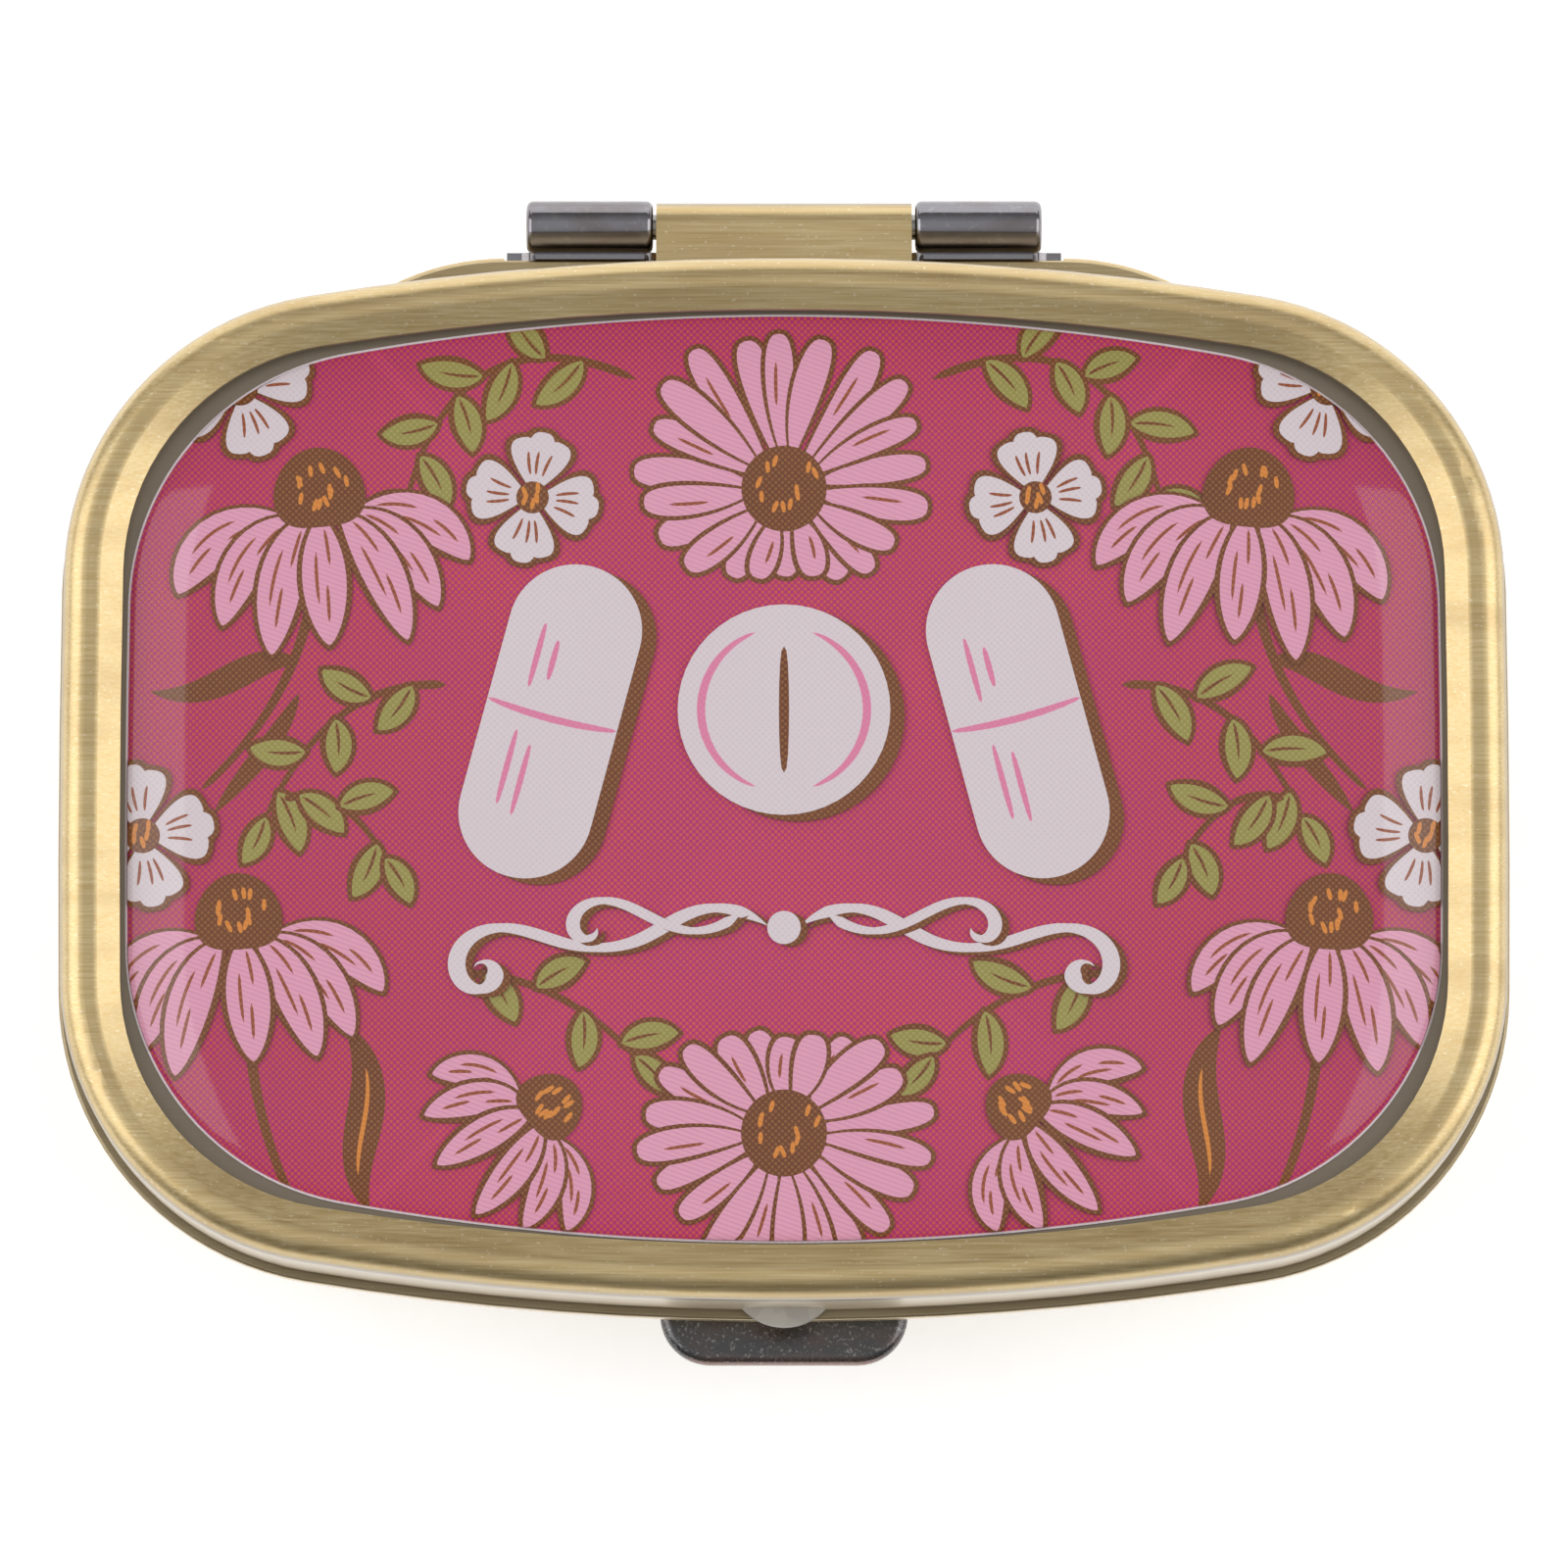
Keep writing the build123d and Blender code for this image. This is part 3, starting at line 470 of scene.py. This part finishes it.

# ---------------------------------------------------------------- metals

# Heights of the panel beside the label and of the seam between lid and base, where the plate is darkened as painted
# shade.
PANEL_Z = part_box("label_print")[0][2]
SEAM_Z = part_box("lid_shell")[0][2]


def antique_brass():
    """Brass plate, brushed along the box's length, browned and lacquered. The brushing shows as fine level streaks
    in the shine. Painted shade darkens the groove beside the label and the seam between lid and base and greys the
    lid's upright side, and pale specks are painted highlights for glints."""
    material, tree, shader, place = finish("antique_brass_brushed")
    fine = put(tree, "ShaderNodeMapping", {"Vector": place, "Scale": cells(4.5, 0.1, 0.1)})
    streak = put(tree, "ShaderNodeTexNoise", {"Vector": fine, "Scale": 1.0, "Detail": 3.0, "Roughness": 0.65})
    broad = put(tree, "ShaderNodeMapping", {"Vector": place, "Scale": cells(9.0, 1.6, 1.6)})
    cloud = put(tree, "ShaderNodeTexNoise", {"Vector": broad, "Scale": 1.0, "Detail": 2.0})
    tiny = put(tree, "ShaderNodeMapping", {"Vector": place, "Scale": cells(0.25, 0.12, 0.12)})
    speck = put(tree, "ShaderNodeTexNoise", {"Vector": tiny, "Scale": 1.0, "Detail": 1.0})
    height = put(tree, "ShaderNodeSeparateXYZ", {"Vector": place}).outputs["Z"]
    streaky = put(tree, "ShaderNodeMapRange", {0: streak, 1: 0.3, 2: 0.7})
    tone = put(tree, "ShaderNodeMix", {0: streaky, 6: srgb("#CDAF72"), 7: srgb("#E4CE9C")}, data_type="RGBA")
    cloudy = put(tree, "ShaderNodeMapRange", {0: cloud, 1: 0.45, 2: 0.75, 4: 0.35})
    tone = put(tree, "ShaderNodeMix", {0: cloudy, 6: tone, 7: srgb("#A5824C")}, data_type="RGBA")
    # Painted highlights: sparse pale specks stand in for glints on the plate.
    glint_specks = put(tree, "ShaderNodeMapRange", {0: speck, 1: 0.68, 2: 0.74, 4: 0.6})
    tone = put(tree, "ShaderNodeMix", {0: glint_specks, 6: tone, 7: srgb("#F3E6C4")}, data_type="RGBA")
    # Painted shade: the plate low in the groove round the label is painted dark brown.
    low = put(tree, "ShaderNodeMapRange", {0: height, 1: PANEL_Z + 0.85 * MM, 2: PANEL_Z + 0.3 * MM, 4: 0.85})
    on_lid = put(tree, "ShaderNodeMath", {0: height, 1: PANEL_Z - 0.3 * MM}, operation="GREATER_THAN")
    hollow_shade = put(tree, "ShaderNodeMath", {0: low, 1: on_lid}, operation="MULTIPLY")
    tone = put(tree, "ShaderNodeMix", {0: hollow_shade, 6: tone, 7: srgb("#4A3C2A")}, data_type="RGBA")
    # Painted shade: the lid's upright side is painted greyer than the bead for the dimmer light it faces.
    below = put(tree, "ShaderNodeMapRange", {0: height, 1: PANEL_Z + 0.3 * MM, 2: PANEL_Z - 0.2 * MM, 4: 0.45})
    above = put(tree, "ShaderNodeMath", {0: height, 1: SEAM_Z}, operation="GREATER_THAN")
    side = put(tree, "ShaderNodeMath", {0: below, 1: above}, operation="MULTIPLY")
    depth = put(tree, "ShaderNodeSeparateXYZ", {"Vector": place}).outputs["Y"]
    on_shell = put(tree, "ShaderNodeMath", {0: depth, 1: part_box("lid_shell")[1][1]}, operation="LESS_THAN")
    side = put(tree, "ShaderNodeMath", {0: side, 1: on_shell}, operation="MULTIPLY")
    tone = put(tree, "ShaderNodeMix", {0: side, 6: tone, 7: srgb("#BDB2A6")}, data_type="RGBA")
    # Painted shade: the plate within 0.7 mm of the seam between lid and base is painted dark grey for the shadow in the
    # gap.
    off_seam = put(tree, "ShaderNodeMath", {0: height, 1: SEAM_Z}, operation="SUBTRACT")
    off_seam = put(tree, "ShaderNodeMath", {0: off_seam}, operation="ABSOLUTE")
    seam = put(tree, "ShaderNodeMapRange", {0: off_seam, 1: 0.7 * MM, 2: 0.2 * MM, 4: 0.75})
    tone = put(tree, "ShaderNodeMix", {0: seam, 6: tone, 7: srgb("#5A544C")}, data_type="RGBA")
    rough = put(tree, "ShaderNodeMapRange", {0: streak, 1: 0.3, 2: 0.7, 3: 0.33, 4: 0.43})
    bump = put(tree, "ShaderNodeBump", {"Height": streak, "Distance": 0.003 * MM, "Strength": 0.5})
    wire(tree, shader, {"Base Color": tone, "Metallic": 1.0, "Roughness": rough, "Normal": bump,
                        "Coat Weight": 1.0, "Coat Roughness": 0.25})
    return material


def black_nickel(name, ground, worn, pit_size, pit_depth, smooth, rough, sheen_bounds=None):
    """Black nickel plate: dark with a faint warm cast where it is thin, and pitted as finely as the metal under
    it."""
    material, tree, shader, place = finish(name)
    small = put(tree, "ShaderNodeMapping", {"Vector": place, "Scale": cells(pit_size, pit_size, pit_size)})
    pit = put(tree, "ShaderNodeTexNoise", {"Vector": small, "Scale": 1.0, "Detail": 2.0, "Roughness": 0.6})
    wide = put(tree, "ShaderNodeMapping", {"Vector": place, "Scale": cells(2.4, 1.2, 1.2)})
    thin = put(tree, "ShaderNodeTexNoise", {"Vector": wide, "Scale": 1.0, "Detail": 2.0})
    speck = put(tree, "ShaderNodeMapRange", {0: pit, 1: 0.58, 2: 0.72})
    tone = put(tree, "ShaderNodeMix", {0: speck, 6: srgb(ground), 7: srgb(worn)}, data_type="RGBA")
    warm = put(tree, "ShaderNodeMapRange", {0: thin, 1: 0.45, 2: 0.75, 4: 0.5})
    tone = put(tree, "ShaderNodeMix", {0: warm, 6: tone, 7: srgb("#77655E")}, data_type="RGBA")
    if sheen_bounds:
        # Painted highlights pale both ends of the tab, and a painted pinkish reflection runs along its front edge.
        half, front = sheen_bounds
        spot = put(tree, "ShaderNodeSeparateXYZ", {"Vector": place})
        aside = put(tree, "ShaderNodeMath", {0: spot.outputs["X"]}, operation="ABSOLUTE")
        ends = put(tree, "ShaderNodeMapRange", {0: aside, 1: half - 0.95 * MM, 2: half - 0.15 * MM, 4: 0.8})
        edge = put(tree, "ShaderNodeMapRange", {0: spot.outputs["Y"], 1: front + 0.45 * MM, 2: front, 4: 0.6})
        tone = put(tree, "ShaderNodeMix", {0: edge, 6: tone, 7: srgb("#A98A80")}, data_type="RGBA")
        tone = put(tree, "ShaderNodeMix", {0: ends, 6: tone, 7: srgb("#DCD6D0")}, data_type="RGBA")
    gloss = put(tree, "ShaderNodeMapRange", {0: pit, 1: 0.3, 2: 0.7, 3: smooth, 4: rough})
    bump = put(tree, "ShaderNodeBump", {"Height": pit, "Distance": pit_depth * MM, "Strength": 0.5})
    wire(tree, shader, {"Base Color": tone, "Metallic": 1.0, "Roughness": gloss, "Normal": bump})
    return material


def drawn_steel():
    """Bright steel wire and strip: fine lines along its length from the die."""
    material, tree, shader, place = finish("drawn_steel")
    fine = put(tree, "ShaderNodeMapping", {"Vector": place, "Scale": cells(3.0, 0.1, 0.1)})
    line = put(tree, "ShaderNodeTexNoise", {"Vector": fine, "Scale": 1.0, "Detail": 2.0})
    tone = put(tree, "ShaderNodeMix", {0: line, 6: srgb("#85837F"), 7: srgb("#C2C0BB")}, data_type="RGBA")
    rough = put(tree, "ShaderNodeMapRange", {0: line, 1: 0.3, 2: 0.7, 3: 0.22, 4: 0.36})
    bump = put(tree, "ShaderNodeBump", {"Height": line, "Distance": 0.003 * MM, "Strength": 0.5})
    wire(tree, shader, {"Base Color": tone, "Metallic": 1.0, "Roughness": rough, "Normal": bump})
    return material


def zinc_plate():
    """Pressed steel under zinc plate: pale grey with the plate's small spangles."""
    material, tree, shader, place = finish("zinc_plated_steel")
    small = put(tree, "ShaderNodeMapping", {"Vector": place, "Scale": cells(0.8, 0.8, 0.8)})
    spangle = put(tree, "ShaderNodeTexVoronoi", {"Vector": small, "Scale": 1.0}).outputs["Color"]
    shade = put(tree, "ShaderNodeRGBToBW", {"Color": spangle})
    tone = put(tree, "ShaderNodeMix", {0: shade, 6: srgb("#BDB8AF"), 7: srgb("#D2CDC3")}, data_type="RGBA")
    rough = put(tree, "ShaderNodeMapRange", {0: shade, 3: 0.3, 4: 0.42})
    wire(tree, shader, {"Base Color": tone, "Metallic": 1.0, "Roughness": rough})
    return material


def gold_frame():
    """ABS moulding under gold vacuum plate: bright, with a faint orange peel from its lacquer."""
    material, tree, shader, place = finish("abs_gold_plated")
    soft = put(tree, "ShaderNodeMapping", {"Vector": place, "Scale": cells(1.1, 1.1, 1.1)})
    peel = put(tree, "ShaderNodeTexNoise", {"Vector": soft, "Scale": 1.0, "Detail": 2.0})
    tone = put(tree, "ShaderNodeMix", {0: peel, 6: srgb("#C0A062"), 7: srgb("#DCC48A")}, data_type="RGBA")
    rough = put(tree, "ShaderNodeMapRange", {0: peel, 1: 0.3, 2: 0.7, 3: 0.18, 4: 0.28})
    bump = put(tree, "ShaderNodeBump", {"Height": peel, "Distance": 0.01 * MM, "Strength": 0.4})
    wire(tree, shader, {"Base Color": tone, "Metallic": 1.0, "Roughness": rough, "Normal": bump})
    return material


def silvered_glass():
    """Silvered glass: a clear mirror with the faint bands of a wiped surface."""
    material, tree, shader, place = finish("silvered_glass")
    turn = (0, 0, np.radians(20))
    wiped = put(tree, "ShaderNodeMapping", {"Vector": place, "Scale": cells(12.0, 2.0, 2.0), "Rotation": turn})
    haze = put(tree, "ShaderNodeTexNoise", {"Vector": wiped, "Scale": 1.0, "Detail": 3.0})
    tone = put(tree, "ShaderNodeMix", {0: haze, 6: srgb("#E0E6E4"), 7: srgb("#CFD8D6")}, data_type="RGBA")
    rough = put(tree, "ShaderNodeMapRange", {0: haze, 1: 0.4, 2: 0.8, 3: 0.01, 4: 0.06})
    wire(tree, shader, {"Base Color": tone, "Metallic": 1.0, "Roughness": rough})
    return material


# ---------------------------------------------------------------- plastics, foam and resin


def ivory_tray():
    """Moulded polypropylene: ivory, waxy and satin, with a spark-eroded grain."""
    material, tree, shader, place = finish("polypropylene_ivory")
    small = put(tree, "ShaderNodeMapping", {"Vector": place, "Scale": cells(0.2, 0.2, 0.2)})
    grain = put(tree, "ShaderNodeTexNoise", {"Vector": small, "Scale": 1.0, "Detail": 2.0})
    wide = put(tree, "ShaderNodeMapping", {"Vector": place, "Scale": cells(12.0, 12.0, 12.0)})
    flow = put(tree, "ShaderNodeTexNoise", {"Vector": wide, "Scale": 1.0})
    tone = put(tree, "ShaderNodeMix", {0: grain, 6: srgb("#DED6C7"), 7: srgb("#EEE8DC")}, data_type="RGBA")
    faint = put(tree, "ShaderNodeMapRange", {0: flow, 1: 0.4, 2: 0.7, 4: 0.3})
    tone = put(tree, "ShaderNodeMix", {0: faint, 6: tone, 7: srgb("#E9E4DA")}, data_type="RGBA")
    rough = put(tree, "ShaderNodeMapRange", {0: grain, 1: 0.3, 2: 0.7, 3: 0.38, 4: 0.52})
    bump = put(tree, "ShaderNodeBump", {"Height": grain, "Distance": 0.01 * MM, "Strength": 0.5})
    wire(tree, shader, {"Base Color": tone, "Roughness": rough, "IOR": 1.49, "Normal": bump})
    return material


def foam():
    """Polyethylene foam: grey and matt, with closed cells about a third of a millimetre across."""
    material, tree, shader, place = finish("polyethylene_foam")
    small = put(tree, "ShaderNodeMapping", {"Vector": place, "Scale": cells(0.35, 0.35, 0.35)})
    cell = put(tree, "ShaderNodeTexVoronoi", {"Vector": small, "Scale": 1.0})
    tone = put(tree, "ShaderNodeMix", {0: cell, 6: srgb("#606062"), 7: srgb("#98989A")}, data_type="RGBA")
    bump = put(tree, "ShaderNodeBump", {"Height": cell, "Distance": 0.08 * MM, "Strength": 0.6})
    wire(tree, shader, {"Base Color": tone, "Roughness": 0.9, "IOR": 1.51, "Normal": bump})
    return material


def clear_epoxy():
    """Clear cast epoxy: colourless and mirror smooth with the slow swell of a poured skin. Only the skin reflects,
    and the print shows straight through."""
    material, tree, shader, place = finish("clear_epoxy_resin")
    output = tree.nodes["Material Output"]
    tree.nodes.remove(shader)
    wide = put(tree, "ShaderNodeMapping", {"Vector": place, "Scale": cells(16.0, 11.0, 11.0)})
    swell_map = put(tree, "ShaderNodeTexNoise", {"Vector": wide, "Scale": 1.0, "Detail": 0.0})
    bump = put(tree, "ShaderNodeBump", {"Height": swell_map, "Distance": 0.03 * MM, "Strength": 0.5})
    fresnel = put(tree, "ShaderNodeFresnel", {"IOR": 1.55, "Normal": bump})
    behind = put(tree, "ShaderNodeNewGeometry", {}).outputs["Backfacing"]
    front = put(tree, "ShaderNodeMath", {0: 1.0, 1: behind}, operation="SUBTRACT")
    share = put(tree, "ShaderNodeMath", {0: fresnel, 1: front}, operation="MULTIPLY")
    clear = put(tree, "ShaderNodeBsdfTransparent", {})
    gloss = put(tree, "ShaderNodeBsdfGlossy", {"Roughness": 0.06, "Normal": bump})
    mixed = put(tree, "ShaderNodeMixShader", {0: share, 1: clear, 2: gloss})
    wire(tree, output, {"Surface": mixed})
    return material


# A label like this is printed with dots 0.14 mm apart. They are drawn 0.2 mm apart here so that they show.
SCREEN_PITCH = 0.2


def screened(name, ground, dot, shown, turn=45.0, lines=False, third=None):
    """Printing ink on vinyl, under a screen: the dot colour shows where the sum of two sine waves crossed over the
    label is high, or one wave alone for a line screen, and the third colour shows where it is low."""
    material, tree, shader, place = finish(name)
    wave = 2 * np.pi / (SCREEN_PITCH * MM)
    turn = (0, 0, np.radians(turn))
    grid = put(tree, "ShaderNodeMapping", {"Vector": place, "Scale": (wave, wave, wave), "Rotation": turn})
    axes = put(tree, "ShaderNodeSeparateXYZ", {"Vector": grid})
    across = put(tree, "ShaderNodeMath", {0: axes.outputs["Y"]}, operation="SINE")
    along = put(tree, "ShaderNodeMath", {0: axes.outputs["X"]}, operation="SINE")
    along = put(tree, "ShaderNodeMath", {0: along, 1: 0.0 if lines else 1.0}, operation="MULTIPLY")
    pattern = put(tree, "ShaderNodeMath", {0: across, 1: along}, operation="ADD")
    high = put(tree, "ShaderNodeMapRange", {0: pattern, 1: -0.2, 2: 1.2, 4: shown})
    low = put(tree, "ShaderNodeMapRange", {0: pattern, 1: -0.4, 2: -1.4, 4: shown})
    tone = put(tree, "ShaderNodeMix", {0: high, 6: srgb(ground), 7: srgb(dot)}, data_type="RGBA")
    tone = put(tree, "ShaderNodeMix", {0: low, 6: tone, 7: srgb(third or ground)}, data_type="RGBA")
    wide = put(tree, "ShaderNodeMapping", {"Vector": place, "Scale": cells(7.0, 7.0, 7.0)})
    drift = put(tree, "ShaderNodeTexNoise", {"Vector": wide, "Scale": 1.0})
    faint = put(tree, "ShaderNodeMapRange", {0: drift, 1: 0.35, 2: 0.7, 4: 0.15})
    tone = put(tree, "ShaderNodeMix", {0: faint, 6: tone, 7: srgb(third or dot)}, data_type="RGBA")
    wire(tree, shader, {"Base Color": tone, "Roughness": 0.55, "Specular IOR Level": 0.2})
    return material


INKS = {
    "film": screened("vinyl_print_magenta", "#CC3069", "#DC7048", 0.8, third="#B5308C"),
    "blush": screened("ink_blush", "#EDA9BF", "#DB8FB6", 0.75, turn=20.0, lines=True),
    "white": screened("ink_white", "#E6D9DC", "#D9C8D0", 0.6),
    "brown": screened("ink_brown", "#6E3A1C", "#A8713F", 0.6),
    "olive": screened("ink_olive", "#99914A", "#B5AA68", 0.7),
    "orange": screened("ink_orange", "#DE8632", "#E99B4B", 0.7, turn=20.0, lines=True),
    "sienna": screened("ink_sienna", "#94492C", "#B56F4A", 0.7),
    "rose": screened("ink_rose", "#E87FA6", "#E597B4", 0.7),
}
brass = antique_brass()
resin = clear_epoxy()
steel = drawn_steel()
zinc = zinc_plate()
nickel_hinge = black_nickel("black_nickel_drawn", "#949296", "#A09E9F", 0.3, 0.002, 0.12, 0.18)
tab_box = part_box("latch_tab")
nickel_tab = black_nickel("black_nickel_cast", "#616060", "#B3B1AE", 0.13, 0.01, 0.2, 0.32,
                          sheen_bounds=(tab_box[1][0], tab_box[0][1]))
grey_foam = foam()

FINISHES = {
    "base_shell": brass,
    "base_rim_ring": brass,
    "hinge_pad": brass,
    "lid_shell": brass,
    "lid_hinge_leaf": brass,
    "lid_catch": zinc,
    "base_hinge_leaf": nickel_hinge,
    "hinge_rivets": nickel_hinge,
    "latch_tab": nickel_tab,
    "hinge_pin": steel,
    "latch_spring": steel,
    "latch_bracket": zinc,
    "latch_rivets": zinc,
    "pill_tray": ivory_tray(),
    "mirror_frame": gold_frame(),
    "mirror": silvered_glass(),
    "mirror_pad": grey_foam,
    "tray_tape": grey_foam,
    "label_print": INKS["film"],
    "label_dome": resin,
}
for name, material in FINISHES.items():
    for slot in nodes[name].material_slots:
        slot.material = material

# ---------------------------------------------------------------- the label's pieces

for ink in ("blush", "white", "brown", "olive", "orange", "sienna", "rose"):
    shapes = [(points, quads) for laid, points, quads in LAYERS if laid == ink]
    starts = np.cumsum([0] + [len(points) for points, _ in shapes])
    all_quads = np.concatenate([quads + start for (_, quads), start in zip(shapes, starts)])
    make_piece("label_ink_" + ink, np.concatenate([points for points, _ in shapes]), all_quads, INKS[ink])

# White vinyl shows where the label was cut: a closed strip round the film, four points to its section.
EDGE_SECTION = ((-0.01, -0.09), (-0.01, 0.02), (0.08, 0.02), (0.08, -0.02))
edge_loops = [np.stack([*rim(inset), np.full(360, PRINT_TOP + rise)], axis=-1) for inset, rise in EDGE_SECTION]
edge_quads = loops_to_quads(len(EDGE_SECTION), 360, closed=True)
make_piece("label_cut_edge", np.concatenate(edge_loops), edge_quads, INKS["white"])

# The dome: a shallow sphere, less a drop at the edge that fades as a power of the distance inwards. Its outermost
# loops round over from an upright edge, and its foot is flat.
DOME_CREST = 16.55
DOME_SPHERE = 1400.0
DOME_FOOT_INSET = 0.09
DOME_FOOT_GAP = 0.002
EDGE_DROP = 1.1
EDGE_DROP_WIDTH = 8.0
EDGE_DROP_POWER = 2.6
EDGE_ROUND = 0.24
SPHERE_SHARES = np.linspace(1, 0, 14)[1:, None]

roll = np.linspace(0, np.pi / 2, 7)
insets = DOME_FOOT_INSET + np.concatenate([[0], EDGE_ROUND * (1 - np.cos(roll)), np.linspace(0.5, 8.5, 26)])
loops_x, loops_y = np.array([rim(inset) for inset in insets]).transpose(1, 0, 2)
loops_x = np.concatenate([loops_x, loops_x[-1] * SPHERE_SHARES])
loops_y = np.concatenate([loops_y, loops_y[-1] * SPHERE_SHARES])
inside = np.clip(-from_edge(loops_x, loops_y)[0] / EDGE_DROP_WIDTH, 0, 1)
loops_z = DOME_CREST - (loops_x**2 + loops_y**2) / (2 * DOME_SPHERE) - EDGE_DROP * (1 - inside) ** EDGE_DROP_POWER
loops_z[1:8] -= EDGE_ROUND * (1 - np.sin(roll))[:, None]
loops_z[0] = PRINT_TOP + DOME_FOOT_GAP
foot = np.stack([loops_x[:1] * 0, loops_y[:1] * 0, loops_z[:1]], axis=-1)
dome_loops = np.concatenate([foot, np.stack([loops_x, loops_y, loops_z], axis=-1)])
dome_quads = loops_to_quads(len(dome_loops), 360)
dome = make_piece("clear_dome", dome_loops.reshape(-1, 3), dome_quads, resin, smooth=True)
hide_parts("label_dome")

# ---------------------------------------------------------------- floor, light and camera

FLOOR_HALF = 1500 * MM
floor_mesh = bpy.data.meshes.new("floor")
floor_mesh.from_pydata([(x * FLOOR_HALF, y * FLOOR_HALF, 0) for x, y in ((-1, -1), (1, -1), (1, 1), (-1, 1))], [], [(0, 1, 2, 3)])
floor = bpy.data.objects.new("floor", floor_mesh)
bpy.context.collection.objects.link(floor)
# White paper with a fine tooth. It glows as painted light, faintly far in front and strongly from just before the box
# backwards, filling in the box's shadow on it.
paper, tree, shader, place = finish("white_paper_sweep")
tooth = put(tree, "ShaderNodeTexNoise", {"Vector": place, "Scale": 900.0})
tone = put(tree, "ShaderNodeMix", {0: tooth, 6: srgb("#E9E9E9"), 7: srgb("#F2F2F2")}, data_type="RGBA")
near = put(tree, "ShaderNodeSeparateXYZ", {"Vector": place})
shadow_fill_glow = put(tree, "ShaderNodeMapRange", {0: near.outputs["Y"], 1: -0.2, 2: -0.06, 3: 0.05, 4: 0.5})
wire(tree, shader, {"Base Color": tone, "Roughness": 0.9, "Emission Color": srgb("#FFFFFF"), "Emission Strength": shadow_fill_glow})
floor_mesh.materials.append(paper)

TARGET = Vector((0, 0, 0.01))


def soft_box(name, place, width, height, watts):
    """A soft rectangular lamp that faces the box. Metres."""
    light = bpy.data.lights.new(name, "AREA")
    light.shape = "RECTANGLE"
    light.size = width
    light.size_y = height
    light.energy = watts
    holder = bpy.data.objects.new(name, light)
    holder.location = place
    holder.rotation_euler = (TARGET - Vector(place)).to_track_quat("-Z", "Y").to_euler()
    bpy.context.collection.objects.link(holder)


soft_box("soft_box_left", (-0.4, 0.0, 0.31), 0.5, 0.45, 1.07)
soft_box("soft_box_right", (0.4, 0.0, 0.31), 0.5, 0.45, 1.07)
soft_box("soft_box_back", (0.0, 0.58, 0.15), 0.9, 0.36, 1.2)

# The room is lightest overhead. It dims towards its walls, most at the front and the back.
world = bpy.data.worlds.new("studio")
world.use_nodes = True
room = put(world.node_tree, "ShaderNodeSeparateXYZ", {"Vector": put(world.node_tree, "ShaderNodeTexCoord", {}).outputs["Generated"]})
depth = put(world.node_tree, "ShaderNodeMapRange", {0: room.outputs["Z"], 1: 0.3, 2: 0.95, 3: 0.38, 4: 0.66})
to_wall = put(world.node_tree, "ShaderNodeMath", {0: room.outputs["Y"]}, operation="ABSOLUTE")
fade = put(world.node_tree, "ShaderNodeMapRange", {0: to_wall, 1: 0.2, 2: 0.8, 3: 1.0, 4: 0.42})
depth = put(world.node_tree, "ShaderNodeMath", {0: depth, 1: fade}, operation="MULTIPLY")
wire(world.node_tree, world.node_tree.nodes["Background"], {"Color": srgb("#F4F5F7"), "Strength": depth})
bpy.context.scene.world = world
bpy.context.scene.view_settings.view_transform = "Standard"

# The camera leans 8 degrees from straight down towards the latch.
camera_data = bpy.data.cameras.new("camera")
camera_data.sensor_width = 36.0
camera_data.lens = 262.0
camera_data.clip_start = 0.01
camera = bpy.data.objects.new("camera", camera_data)
lean = np.radians(8)
aim = Vector((0.0, 0.00066, 0.0081))
camera.location = aim + 0.5 * Vector((0, -np.sin(lean), np.cos(lean)))
camera.rotation_euler = (aim - camera.location).to_track_quat("-Z", "Y").to_euler()
bpy.context.collection.objects.link(camera)
bpy.context.scene.camera = camera
